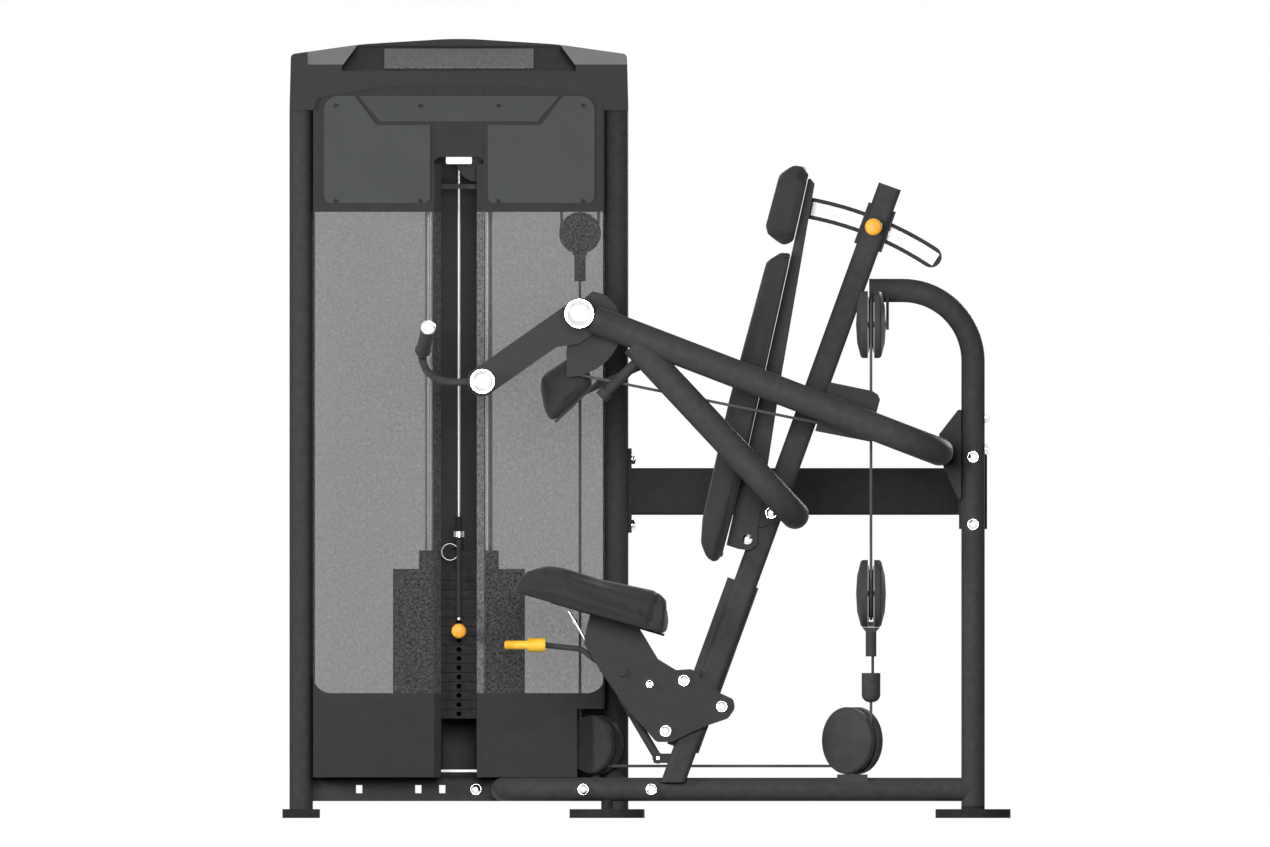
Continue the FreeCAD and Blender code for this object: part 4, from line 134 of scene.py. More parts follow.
# a plain finish: mottled in two close tones, with a fine grain of (scale, detail, strength, height in metres)
def finish(name, hexColor, roughness, specular, tones, toneScale, grain=None):
    material, tree, shader = newMaterial(name, hexColor, roughness, specular=specular)
    mottled(tree, shader, *tones, toneScale)
    if grain:
        scale, detail, strength, distance = grain
        noise = addNode(tree, "ShaderNodeTexNoise", Vector=objectCoords(tree), Scale=scale, Detail=detail)
        bumpFrom(tree, shader, noise.outputs["Fac"], strength, distance)
    return material


# powder coat: satin black with a fine orange peel, pits about 1.5 mm apart
orangePeel = (650, 1.0, 0.08, 0.0004)
blackCoat = finish("blackPowderCoatSteel", "#414142", 0.5, 0.02, ("#3f3f40", "#434344"), 60, orangePeel)

# flat cut plate with the same coat, painted a shade darker: painted shade on the flat faces
plateCoatPaintedShade = finish("blackPowderCoatPlatePaintedShade", "#3e3e3f", 0.55, 0.02, ("#3d3d3e", "#3f3f40"), 40, orangePeel)

# the same coat on the cross beam, deep satin black and darker than the tubes: painted shade on the beam, which sits
# further back than the tubes
beamCoatPaintedShade = finish("deepBlackPowderCoatPaintedShade", "#333334", 0.5, 0.02, ("#323233", "#353536"), 40, orangePeel)

# pressed sheet shroud: textured dark grey paint, baked, with a grain of about 2 mm and no gloss
shroudPaint = finish("texturedGreyShroudPaint", "#3c3c3d", 0.6, 0.02, ("#3b3b3c", "#3d3d3e"), 30,
                     (450, 2.0, 0.12, 0.0005))

# crown: moulded ABS from a spark-eroded mould, an even dark grey
mouldGrain = (500, 2.0, 0.1, 0.0005)
crownAbs = finish("mouldedAbsCrown", "#3c3c3d", 0.5, 0.02, ("#3b3b3c", "#3d3d3e"), 25, mouldGrain)

# the crown's sloping top: the same moulding polished, and painted a shade lighter as painted light on its top faces;
# dark from above and pale with the room at a flat angle
crownTopPaintedLight = finish("polishedAbsCrownTopPaintedLight", "#444445", 0.38, 0.4, ("#424243", "#474748"), 25, mouldGrain)

# floor of the crown's recess: the same moulding, matt and painted near black as painted shade in the recess
recessAbsPaintedShade = finish("mattAbsRecessPaintedShade", "#323233", 0.7, 0.05, ("#2f2f30", "#353536"), 25)


# speckled sheet: fine light and dark grains about 3 mm apart, drawn coarse enough to show
speckleSizes = {"scale": 170, "detail": 3.0, "clumping": 0.8, "low": 0.4, "high": 0.6, "alphaSwing": 0.075}


def speckle(name, darkHex, midHex, lightHex, alpha):
    material, tree, shader = newMaterial(name, midHex, 0.6, specular=0.2)
    noise = addNode(tree, "ShaderNodeTexNoise", Vector=objectCoords(tree), Scale=speckleSizes["scale"],
                    Detail=speckleSizes["detail"], Roughness=speckleSizes["clumping"])
    toned(tree, shader, noise.outputs["Fac"], darkHex, lightHex, speckleSizes["low"], speckleSizes["high"])
    if alpha < 1:
        # denser and clearer grains in the sheet
        swing = speckleSizes["alphaSwing"]
        grain = addNode(tree, "ShaderNodeMapRange", Value=noise.outputs["Fac"], i1=0.35, i2=0.65, i3=alpha - swing,
                        i4=alpha + swing)
        tree.links.new(grain.outputs["Result"], shader.inputs["Alpha"])
    return material


# smoked sheet that one sees through dimly, each of its two faces takes a third of the light
meshPanel = speckle("speckledSmokedAcrylic", "#262525", "#4b494a", "#6f6d6e", 0.33)
rearPanel = speckle("speckledSmokedRearAcrylic", "#262525", "#4b494a", "#6f6d6e", 0.33)
# the slot's lips: opaque speckled sheet, the right lip painted lighter as painted light and the left lip painted
# darker as painted shade
lipSheetPaintedLight = speckle("speckledLipSheetPaintedLight", "#4e4c4d", "#656364", "#7e7b7c", 1.0)
lipSheetPaintedShade = speckle("speckledLipSheetPaintedShade", "#363536", "#454445", "#565455", 1.0)
insetSpeckle = speckle("speckledInsetSheet", "#4c4c4c", "#606060", "#747474", 1.0)

# chrome: bright nickel-chrome plate, almost a mirror
chrome, tree, shader = newMaterial("nickelChromePlate", "#f2f2f2", 0.16, 1.0)
mottled(tree, shader, "#dcdcdd", "#f6f6f6", 45)
smudge = addNode(tree, "ShaderNodeTexNoise", Vector=objectCoords(tree), Scale=90, Detail=2.0)
rough = addNode(tree, "ShaderNodeMapRange", Value=smudge.outputs["Fac"], i3=0.12, i4=0.24)
tree.links.new(rough.outputs["Result"], shader.inputs["Roughness"])

# ground steel rod with fine marks along it
groundSteel, tree, shader = newMaterial("groundSteelRod", "#a2a3a4", 0.4, 1.0)
marks = addNode(tree, "ShaderNodeTexNoise", Vector=addNode(tree, "ShaderNodeMapping", Vector=objectCoords(tree),
                Scale=(900, 900, 30)).outputs["Vector"], Scale=1.0, Detail=2.0)
bumpFrom(tree, shader, marks.outputs["Fac"], 0.1, 0.0002)

# weight plates: cast iron under a dipped paint, near black and slightly rough
plateIron = finish("paintedCastIron", "#29292a", 0.6, 0.05, ("#272728", "#2d2d2e"), 70, (300, 3.0, 0.25, 0.0008))

# feet and grips: moulded rubber, matt, with a fine even grain
rubber = finish("mouldedRubber", "#303030", 0.75, 0.03, ("#2d2d2d", "#323232"), 120, (700, 2.0, 0.2, 0.0005))

# vinyl: embossed leather grain about 1.2 mm across, drawn at 2 mm so that it shows
vinyl, tree, shader = newMaterial("embossedVinyl", "#343435", 0.55, specular=0.05)
coords = objectCoords(tree)
tone = addNode(tree, "ShaderNodeTexNoise", Vector=coords, Scale=14, Detail=3.0)
toned(tree, shader, tone.outputs["Fac"], "#323233", "#373738", 0.3, 0.7)
cells = addNode(tree, "ShaderNodeTexVoronoi", {"feature": "SMOOTH_F1"}, Vector=coords, Scale=520)
crease = addNode(tree, "ShaderNodeTexNoise", Vector=coords, Scale=240, Detail=3.0)
height = addNode(tree, "ShaderNodeMath", {"operation": "MULTIPLY_ADD"}, i0=crease.outputs["Fac"], i1=0.6,
                 i2=cells.outputs["Distance"])
bumpFrom(tree, shader, height.outputs["Value"], 0.35, 0.0009)
shader.inputs["Sheen Weight"].default_value = 0.08

# piping sewn into the seams: the same vinyl, rolled thin and painted darker as painted shade in the seam's crease
pipingVinylPaintedShade = finish("rolledVinylPipingPaintedShade", "#1f1f20", 0.6, 0.2, ("#1c1c1d", "#232324"), 90)

# knobs: orange nylon straight from a polished mould, and the lever's grip dipped in amber vinyl, both glossy
orangeNylon = finish("glossyOrangeNylon", "#ffb23f", 0.34, 0.12, ("#fdae3b", "#ffb848"), 50)
amberGrip = finish("dippedAmberVinyl", "#f6bd38", 0.38, 0.12, ("#eeb02f", "#fcc744"), 45)

# pulleys and their covers: moulded nylon, black and a little chalky
blackNylon = finish("mouldedBlackNylon", "#464647", 0.5, 0.03, ("#424243", "#464647"), 35, mouldGrain)

# the quadrant's scale, printed pale on steel, and white plastic edges
paleScale = finish("palePrintedScale", "#fdfefe", 0.4, 0.12, ("#fbfcfc", "#ffffff"), 20)
whitePlastic = finish("whitePlasticTab", "#fafafa", 0.4, 0.12, ("#f6f6f6", "#ffffff"), 20)

# placards: a greenish dark grey film printed matt, left bare, and its header a shade darker
placardPrint = finish("mattPrintedPlacard", "#4b4e4c", 0.6, 0.05, ("#4a4d4b", "#4c4f4d"), 12)
headerPrint = finish("mattPrintedHeader", "#494c4a", 0.6, 0.05, ("#484b49", "#4a4d4b"), 12)

# joints between the plates: near black, painted shadow in the gaps between them
shadowLine = finish("plateJointPaintedShadow", "#141414", 0.9, 0.0, ("#121212", "#171717"), 60)


# laid steel rope under a coat: strands show as slanting bands about 5 mm apart
def wireRope(name, darkHex, lightHex, metallic, roughness):
    material, tree, shader = newMaterial(name, darkHex, roughness, metallic)
    turned = addNode(tree, "ShaderNodeMapping", Vector=objectCoords(tree), Rotation=(0.6, 0.6, 0.6))
    wave = addNode(tree, "ShaderNodeTexWave", Vector=turned.outputs["Vector"], Scale=95)
    toned(tree, shader, wave.outputs["Fac"], darkHex, lightHex)
    bumpFrom(tree, shader, wave.outputs["Fac"], 0.3, 0.0004)
    return material


darkRope = wireRope("nylonCoatedWireRope", "#454546", "#5a5a5b", 0.0, 0.45)
lightRope = wireRope("bareWireRope", "#9a9a9a", "#c6c6c6", 0.8, 0.4)
lanyardCord = wireRope("braidedNylonCord", "#2a2a2b", "#3d3d3e", 0.0, 0.8)
print("materials made")


# Helpers for meshes
# a finished piece from a bmesh, riding a body, or riding none
def place(name, bm, material, body, replaced=(), smooth=40):
    bmesh.ops.remove_doubles(bm, verts=bm.verts, dist=1e-6)
    bmesh.ops.recalc_face_normals(bm, faces=bm.faces)
    mesh = bpy.data.meshes.new(name)
    bm.to_mesh(mesh)
    bm.free()
    mesh.polygons.foreach_set("use_smooth", [True] * len(mesh.polygons))
    mesh.set_sharp_from_angle(angle=math.radians(smooth))
    piece = bpy.data.objects.new(name, mesh)
    scene.collection.objects.link(piece)
    for m in (material if isinstance(material, (list, tuple)) else [material]):
        mesh.materials.append(m)
    if body:
        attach(piece, body)
    if replaced:
        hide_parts(*replaced)
    return piece


def turnTo(axis):
    return Vector((0, 0, 1)).rotation_difference(Vector(axis)).to_matrix().to_4x4()


# spins a profile of (radius, height) round an axis through a centre
def lathe(bm, profile, centre, axis, steps=40):
    verts = [bm.verts.new((r, 0, h)) for r, h in profile]
    edges = [bm.edges.new(pair) for pair in zip(verts, verts[1:])]
    bmesh.ops.spin(bm, geom=verts + edges, cent=(0, 0, 0), axis=(0, 0, 1), angle=math.tau, steps=steps,
                   use_merge=True)
    found = {v for v in bm.verts if v.is_valid and v.tag is False}
    bmesh.ops.transform(bm, matrix=Matrix.Translation(centre) @ turnTo(axis), verts=list(found))
    for v in found:
        v.tag = True


# face lists of a CAD node's separate solids, found by vertices that share a place
def islands(mesh):
    parent = {}

    def root(k):
        while parent[k] != k:
            parent[k] = parent[parent[k]]
            k = parent[k]
        return k

    keys = [tuple(round(c * 1e5) for c in v.co) for v in mesh.vertices]
    for k in keys:
        parent.setdefault(k, k)
    for p in mesh.polygons:
        first = root(keys[p.vertices[0]])
        for v in p.vertices[1:]:
            other = root(keys[v])
            if other != first:
                parent[other] = first
    groups = {}
    for p in mesh.polygons:
        groups.setdefault(root(keys[p.vertices[0]]), []).append(p)
    found = []
    for faces in groups.values():
        points = [mesh.vertices[v].co for p in faces for v in p.vertices]
        low = Vector([min(c[i] for c in points) for i in range(3)])
        high = Vector([max(c[i] for c in points) for i in range(3)])
        found.append((faces, low, high))
    return found


# gives a CAD node its material, and other materials to the solids, or the faces, that a rule picks
def dress(name, base, rules=(), faceRules=()):
    mesh = nodes[name].data
    mesh.materials.clear()
    mesh.materials.append(base)
    for p in mesh.polygons:
        p.material_index = 0
    for test, material in rules:
        mesh.materials.append(material)
        index = len(mesh.materials) - 1
        for faces, low, high in islands(mesh):
            if test(low, high):
                for p in faces:
                    p.material_index = index
    for test, material in faceRules:
        mesh.materials.append(material)
        index = len(mesh.materials) - 1
        for p in mesh.polygons:
            if test(p.center, p.normal):
                p.material_index = index


# the recess lies a step below the crown's sloping top
def inRecess(at):
    low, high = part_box("crown_cap")
    slope = 1.605 + (at.y - low.y) / (high.y - low.y) * 0.056
    return at.z < slope - 0.007


for name in ("tower_posts", "base_rail", "link_tube", "rear_upright", "arm_frame", "column", "strut_cylinder"):
    dress(name, blackCoat)
# the cross beam in its painted-shade copy of the coat
dress("mid_beam", beamCoatPaintedShade)
dress("frame_bolts", chrome, [(lambda lo, hi: (hi - lo).x < 0.0115 and lo.z > 1.3, blackNylon),
                              (lambda lo, hi: 0.0055 < (hi - lo).y < 0.0065 and (hi - lo).z > 0.016, plateCoatPaintedShade)])
dress("rubber_feet", rubber)
for name in ("pulley_box", "tower_floating_block"):
    dress(name, plateCoatPaintedShade)
# the slot's right lip in painted light, on the front shroud and on the smoked panels, and the left lip in painted
# shade
dress("front_shroud", shroudPaint, [(lambda lo, hi: (hi - lo).x < 0.06 and (hi - lo).z < 0.04, whitePlastic)],
      [(lambda at, up: towerX < at.x < towerX + 0.0535 and at.y > 0.3208 and 0.3 < at.z < 1.28, lipSheetPaintedLight)])
dress("mesh_panels", meshPanel, (), [
    (lambda at, up: towerX < at.x < towerX + 0.0535 and at.y > 0.3178, lipSheetPaintedLight),
    (lambda at, up: towerX - 0.0535 < at.x < towerX and at.y > 0.3178, lipSheetPaintedShade)])
# crown: its top faces in painted light, the floor of its recess in painted shade
dress("crown_cap", crownAbs, (), [(lambda at, up: up.z > 0.6 and at.z > 1.52, crownTopPaintedLight),
                                 (lambda at, up: up.z > 0.6 and at.z > 1.58 and inRecess(at), recessAbsPaintedShade)])
dress("quadrant", plateCoatPaintedShade, (), [(lambda at, up: at.y < -0.1756, paleScale)])
dress("backrest_frame", blackCoat, [(lambda lo, hi: (hi - lo).y < 0.009, chrome),
                                    (lambda lo, hi: (hi - lo).x < 0.02, chrome)])
rodLines = [(towerX - 0.06, 0.3975), (towerX + 0.06, 0.3975)]
dress("tower_inner_frame", blackCoat, (), [
    (lambda at, up: abs(up.z) < 0.5 and 0.2 < at.z < 1.34 and any(math.hypot(at.x - x, at.y - y) < 0.0128
                                                                for x, y in rodLines), groundSteel),
    (lambda at, up: up.y < -0.9 and 0.0975 < at.z < 0.1035 and abs(at.x - towerX) < 0.2, whitePlastic)])
dress("hub_housings", blackCoat, [(lambda lo, hi: (hi - lo).y < 0.025, chrome)])
for name in ("resting_plates", "lifted_plates"):
    dress(name, plateIron)
dress("head_plate", plateIron, [(lambda lo, hi: (hi - lo).x < 0.027 and (hi - lo).z > 0.2, groundSteel),
                                (lambda lo, hi: 0.012 < (hi - lo).x < 0.023 and (hi - lo).z < 0.015, chrome)])
for side in ("left", "right"):
    dress("curl_lever_" + side, plateCoatPaintedShade, [(lambda lo, hi: (hi - lo).x < 0.032 and (hi - lo).z < 0.032, chrome)])
    dress("handle_" + side, blackCoat, [(lambda lo, hi: (hi - lo).y < 0.018 and (hi - lo).x > 0.04, chrome),
                                        (lambda lo, hi: hi.z - lo.z < 0.045 and lo.z > 1.0, chrome)])
    dress("top_pulley_" + side, blackNylon)
    dress("box_pulley_" + side, blackNylon)
    dress("cable_run_" + side, darkRope)
for name in ("tower_pulley_stack", "tower_pulley_side", "tower_pulley_low", "tower_floating_wheel", "floor_pulley",
             "floating_wheel"):
    dress(name, blackNylon)
dress("pulley_covers", blackNylon)
dress("floating_block", blackNylon)
dress("fixed_cables", darkRope)
dress("pin_lanyard", chrome)
dress("strut_rod", groundSteel)
dress("frame_brackets", plateCoatPaintedShade)
dress("seat_carriage", plateCoatPaintedShade, [(lambda lo, hi: hi.x < -0.12 and (hi - lo).x < 0.045, chrome),
                                 (lambda lo, hi: 0.006 < (hi - lo).y < 0.008 and (hi - lo).x < 0.03
                                  and (lo + hi).x > -0.096, chrome)])
dress("release_lever", blackCoat, (), [(lambda at, up: at.x < -0.219, amberGrip)])
dress("placards", placardPrint, [(lambda lo, hi: lo.z > 1.55, insetSpeckle),
                                 (lambda lo, hi: abs(lo.x + hi.x - 2 * towerX) < 0.01 and lo.z < 1.55, headerPrint)])
print("CAD nodes dressed")


# Joints between the weight plates, thin dark lines along their front: painted shadow in the gaps
plateJointSizes = {"margin": 0.001, "proud": 0.0003, "depth": 0.0005, "half": 0.0006, "resting": 9, "lifted": 7}


def plateJoints(name, body, node, first, count):
    low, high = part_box(node)
    margin, half = plateJointSizes["margin"], plateJointSizes["half"]
    bm = bmesh.new()
    for i in range(first, count):
        z = low.z + (high.z - low.z) * i / count
        boxInto(bm, (low.x + margin, low.y - plateJointSizes["proud"], z - half),
                (high.x - margin, low.y + plateJointSizes["depth"], z + half))
    place(name, bm, shadowLine, body)


def boxInto(bm, low, high):
    for v in bmesh.ops.create_cube(bm, size=1.0)["verts"]:
        v.co = Vector([lo if c < 0 else hi for c, lo, hi in zip(v.co, low, high)])


plateJoints("restingPlateJointShadows", "frame", "resting_plates", 1, plateJointSizes["resting"])
plateJoints("liftedPlateJointShadows", "stack", "lifted_plates", 0, plateJointSizes["lifted"])
print("plate joints made")


# Straight stretches of cable that change length: each is cut into slices along its length and rides no body
strandSizes = {"cuts": 16}


def strand(piece, node, material):
    low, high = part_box(node)
    bm = bmesh.new()
    bm.from_mesh(nodes[node].data)
    for i in range(1, strandSizes["cuts"]):
        z = low.z + (high.z - low.z) * i / strandSizes["cuts"]
        bmesh.ops.bisect_plane(bm, geom=bm.verts[:] + bm.edges[:] + bm.faces[:], plane_co=(0, 0, z),
                               plane_no=(0, 0, 1))
    made = place(piece, bm, material, None, replaced=[node])
    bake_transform(made)


strand("stackCableStretch", "stack_strand", lightRope)
strand("towerCableStretches", "tower_strands_upper", darkRope)
strand("towerCableFootStretch", "tower_strand_lower", darkRope)
strand("floatingCableStretches", "floating_strands", darkRope)
strand("floatingCableFootStretch", "floating_strand_lower", darkRope)
print("cable stretches made")


# Rear sheet of the tower: dark at its top, its foot and behind the slot, with two smoked windows
rearSizes = {"bandHalf": 0.066, "foot": 0.266, "head": 1.291, "sideBand": 0.007, "lap": 0.003}


low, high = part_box("rear_shroud")
low.x, low.z, high.x = low.x - rearSizes["lap"], low.z - rearSizes["lap"], high.x + rearSizes["lap"]
left, right = towerX - rearSizes["bandHalf"], towerX + rearSizes["bandHalf"]
bm = bmesh.new()
for x0, x1 in ((low.x, low.x + rearSizes["sideBand"]), (high.x - rearSizes["sideBand"], high.x)):
    boxInto(bm, (x0, low.y, rearSizes["foot"]), (x1, high.y, rearSizes["head"]))
boxInto(bm, low, (high.x, high.y, rearSizes["foot"]))
boxInto(bm, (low.x, low.y, rearSizes["head"]), high)
boxInto(bm, (left, low.y, rearSizes["foot"]), (right, high.y, rearSizes["head"]))
place("rearSheetFrame", bm, shroudPaint, "frame", replaced=["rear_shroud"])
bm = bmesh.new()
for x0, x1 in ((low.x + rearSizes["sideBand"], left), (right, high.x - rearSizes["sideBand"])):
    boxInto(bm, (x0, low.y, rearSizes["foot"]), (x1, high.y, rearSizes["head"]))
place("rearSheetWindows", bm, rearPanel, "frame", replaced=["rear_shroud"])
print("rear sheet made")


# Pads: outlines from the side in metres, swollen by a cloth simulation, and the seat pad creased along its seam
padSizes = {"voxel": 0.005, "pressure": 4.0, "steps": 20, "inset": 0.003}


# an outline drawn in by a distance, its resting edges left where they are
def drawnIn(outline, distance, resting):
    count = len(outline)
    area = sum(a.x * b.y - b.x * a.y for a, b in zip(outline, outline[1:] + outline[:1]))
    turn = 1 if area > 0 else -1
    lines = []
    for i in range(count):
        a, b = outline[i], outline[(i + 1) % count]
        along = (b - a).normalized()
        inward = Vector((-along.y, along.x)) * turn
        lines.append((a + inward * (0.0 if i in resting else distance), along))
    points = []
    for i in range(count):
        (p, d), (q, e) = lines[i - 1], lines[i]
        cross = d.x * e.y - d.y * e.x
        if abs(cross) < 1e-4:
            points.append(q.copy())
        else:
            step = q - p
            points.append(p + d * ((step.x * e.y - step.y * e.x) / cross))
    return points


# closed form from rings of an outline across the width: (how far in from the side, how far drawn in)
def padForm(outline, middle, width, edge, resting):
    bm = bmesh.new()
    outline = [Vector(p) for p in outline]
    half = width / 2
    rows = [(-half + side, inset) for side, inset in edge] + [(half - side, inset) for side, inset in reversed(edge)]
    rings = []
    for y, inset in rows:
        rings.append([bm.verts.new((p.x, middle + y, p.y))
                      for p in drawnIn(outline, inset + padSizes["inset"], resting)])
    for near, far in zip(rings, rings[1:]):
        for i in range(len(outline)):
            k = (i + 1) % len(outline)
            bm.faces.new([near[i], near[k], far[k], far[i]])
    bm.faces.new(rings[0])
    bm.faces.new(list(reversed(rings[-1])))
    bmesh.ops.recalc_face_normals(bm, faces=bm.faces)
    bmesh.ops.triangulate(bm, faces=[f for f in bm.faces if len(f.verts) > 4])
    return bm


# remesh and let air into the cover, each point moving no further than the cap; resting points stay
def swollen(name, bm, cap, rests):
    mesh = bpy.data.meshes.new(name)
    bm.to_mesh(mesh)
    bm.free()
    piece = bpy.data.objects.new(name, mesh)
    scene.collection.objects.link(piece)
    remesh = piece.modifiers.new("remesh", "REMESH")
    remesh.mode = "VOXEL"
    remesh.voxel_size = padSizes["voxel"]
    bpy.context.view_layer.update()
    fine = bpy.data.meshes.new_from_object(piece.evaluated_get(bpy.context.evaluated_depsgraph_get()))
    piece.modifiers.clear()
    piece.data = fine
    still = piece.vertex_groups.new(name="rests")
    still.add([v.index for v in fine.vertices if rests(v.co)], 1.0, "REPLACE")
    before = [v.co.copy() for v in fine.vertices]
    cloth = piece.modifiers.new("swell", "CLOTH")
    cloth.settings.quality = 5
    cloth.settings.mass = 0.3
    cloth.settings.use_pressure = True
    cloth.settings.uniform_pressure_force = padSizes["pressure"]
    cloth.settings.vertex_group_mass = "rests"
    cloth.settings.effector_weights.gravity = 0
    cloth.collision_settings.use_collision = False
    for step in range(1, padSizes["steps"] + 1):
        scene.frame_set(step)
    after = piece.evaluated_get(bpy.context.evaluated_depsgraph_get()).data
    moved = [v.co - start for v, start in zip(after.vertices, before)]
    piece.modifiers.clear()
    for v, start, move in zip(fine.vertices, before, moved):
        v.co = start + (move * (cap / move.length) if move.length > cap else move)
    scene.frame_set(1)
    fine.name = name
    return piece


# a sewn seam: the cover pulled in along a plane, and a piping, painted dark as painted shade, laid in the crease
def crease(piece, point, normal, depth, reach):
    normal = Vector(normal).normalized()
    bm = bmesh.new()
    bm.from_mesh(piece.data)
    bm.normal_update()
    for v in bm.verts:
        away = (v.co - Vector(point)).dot(normal)
        if abs(away) < reach * 3 and v.normal.z > -0.6:
            v.co -= v.normal * depth * math.exp(-(away / reach) ** 2)
    bm.to_mesh(piece.data)
    bm.free()


def piping(piece, name, point, normal, radius, body, node, around=10):
    bm = bmesh.new()
    bm.from_mesh(piece.data)
    bmesh.ops.bisect_plane(bm, geom=bm.verts[:] + bm.edges[:] + bm.faces[:], plane_co=point, plane_no=normal,
                           clear_inner=True, clear_outer=True)
    ordered, edge = [], bm.edges[:][0]
    v, seen = edge.verts[0], set()
    while v not in seen:
        seen.add(v)
        ordered.append(v.co.copy())
        nexts = [e.other_vert(v) for e in v.link_edges if e.other_vert(v) not in seen]
        if not nexts:
            break
        v = nexts[0]
    bm.free()
    loop = [ordered[0]]
    for p in ordered[1:]:
        if (p - loop[-1]).length > 0.006:
            loop.append(p)
    count = len(loop)
    loop = [(loop[i - 1] + loop[i] * 2 + loop[(i + 1) % count]) / 4 for i in range(count)]
    bm = bmesh.new()
    side = Vector(normal).normalized()
    rings = []
    for i in range(count):
        along = (loop[(i + 1) % count] - loop[i - 1]).normalized()
        out = along.cross(side).normalized()
        rings.append([bm.verts.new(loop[i] + (out * math.cos(math.tau * j / around) +
                                              side * math.sin(math.tau * j / around)) * radius)
                      for j in range(around)])
    for i in range(count):
        for j in range(around):
            bm.faces.new([rings[i][j], rings[(i + 1) % count][j], rings[(i + 1) % count][(j + 1) % around],
                          rings[i][(j + 1) % around]])
    return place(name, bm, pipingVinylPaintedShade, body, replaced=[node], smooth=80)


def finishPad(piece, body, node):
    mesh = piece.data
    mesh.materials.clear()
    mesh.materials.append(vinyl)
    mesh.polygons.foreach_set("use_smooth", [True] * len(mesh.polygons))
    smooth = piece.modifiers.new("smooth", "SUBSURF")
    smooth.levels = smooth.render_levels = 1
    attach(piece, body)
    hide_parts(node)


seatOutline = [(-0.2850, 0.4815), (-0.2815, 0.4985), (-0.2745, 0.5110), (-0.2588, 0.5304), (-0.2247, 0.5356),
               (-0.1800, 0.5304), (-0.0948, 0.5048), (0.0373, 0.4771), (0.0522, 0.4665), (0.0394, 0.3919)]
seatSlope = Vector((-0.2822 - 0.0394, 0.4856 - 0.3919)).normalized()
seatUp = Vector((-seatSlope.y, seatSlope.x)) * (1 if seatSlope.x > 0 else -1)
form = padForm(seatOutline, seatY, 0.350, [(0.0, 0.010), (0.006, 0.003), (0.020, 0.0), (0.060, 0.0)], {9})
for v in form.verts:
    # the top falls towards the sides at the rear, where the thighs pass
    share = min(1.0, max(0.0, (v.co.x + 0.13) / 0.13)) * (1 if v.co.x < 0.036 else 0.5)
    if abs(v.co.y - seatY) > 0.13 and v.co.z > 0.455:
        v.co.z -= 0.012 * share
seatPad = swollen("seatPad", form, 0.006,
                  lambda co: (Vector((co.x - 0.0394, co.z - 0.3919)).dot(seatUp)) < 0.004)
seam = ((0.013, seatY, 0.440), (0.96, 0, -0.28))
crease(seatPad, seam[0], seam[1], 0.0045, 0.0045)
finishPad(seatPad, "seat", "seat_pad")
piping(seatPad, "seatPadPiping", seam[0], seam[1], 0.0022, "seat", "seat_pad")
print("seat pad made")

backOutline = [(0.1781, 0.8907), (0.2607, 1.1972), (0.2865, 1.2123), (0.3080, 1.2037), (0.1709, 0.5848),
               (0.1600, 0.5440), (0.1459, 0.5385), (0.1290, 0.5495), (0.1170, 0.5830), (0.1206, 0.6350)]
backLine = Vector((0.3080 - 0.1709, 1.2037 - 0.5848)).normalized()
backPad = swollen("backPad", padForm(backOutline, seatY, 0.290, [(0.0, 0.016), (0.018, 0.001), (0.08, 0.0)], {3}),
                  0.005, lambda co: (co.x - 0.1709) * backLine.y - (co.z - 0.5848) * backLine.x > -0.004)
finishPad(backPad, "backrest", "back_pads")
headOutline = [(0.2506, 1.2418), (0.2865, 1.3760), (0.3123, 1.3954), (0.3353, 1.3911), (0.3468, 1.3760),
               (0.3123, 1.2252), (0.2908, 1.2188)]
headLine = Vector((0.3468 - 0.3123, 1.3760 - 1.2252)).normalized()
headPad = swollen("headPad", padForm(headOutline, seatY, 0.230, [(0.0, 0.022), (0.022, 0.001), (0.07, 0.0)], {4}),
                  0.005, lambda co: (co.x - 0.3123) * headLine.y - (co.z - 1.2252) * headLine.x > -0.004)
finishPad(headPad, "backrest", "back_pads")
print("back pads made")

elbowOutline = [(-0.2284, 0.9389), (-0.2188, 0.8634), (-0.2060, 0.8429), (-0.1971, 0.8455), (-0.1113, 0.9274),
                (-0.1139, 0.9466), (-0.1267, 0.9914), (-0.1497, 0.9888), (-0.2124, 0.9479)]
for side, middle in (("Left", -0.3325), ("Right", -0.0125)):
    elbowPad = swollen("elbowPad" + side, padForm(elbowOutline, middle, 0.120, [(0.0, 0.014), (0.014, 0.001),
                                                                               (0.04, 0.0)], {3}),
                       0.004, lambda co: False)
    finishPad(elbowPad, "frame", "elbow_pads")
print("elbow pads made")


# Bright caps over the plain bolt heads, end caps and swivels
capSizes = {"rise": 0.0032, "proud": 0.0003, "socket": 0.0034, "gripDome": (0.93, 0.62, 0.93)}


# a domed head with a round socket, over a plain head of the frame
def boltCap(bm, centre, axis, radius, height):
    r, top = radius + capSizes["proud"], height + capSizes["rise"]
    floor = height + capSizes["proud"]
    socket = min(capSizes["socket"], r * 0.36)
    lathe(bm, [(0, floor), (socket, floor), (socket * 1.06, top), (r * 0.6, top - capSizes["rise"] * 0.2),
               (r * 0.9, height + 0.0002), (r, height - 0.0016), (r, 0)], centre, axis, 28)


# a smooth end cap with a rolled edge
def domeCap(bm, centre, axis, radius, height, rise=0.004):
    r = radius + capSizes["proud"]
    lathe(bm, [(0, height + rise), (r * 0.45, height + rise * 0.86), (r * 0.78, height + rise * 0.45),
               (r * 0.93, height - rise * 0.15), (r, height - rise * 0.9), (r, 0)], centre, axis, 48)


# middle, radius and height of each plain round head of a node along an axis
def discsOf(name, axis, test=None):
    k = "xyz".index(axis[-1])
    found = []
    for faces, low, high in islands(nodes[name].data):
        size = high - low
        across = [size[i] for i in range(3) if i != k]
        if abs(across[0] - across[1]) < 0.001 and (test is None or test(low, high)):
            found.append(((low + high) / 2, across[0] / 2, size[k], low, high))
    return found


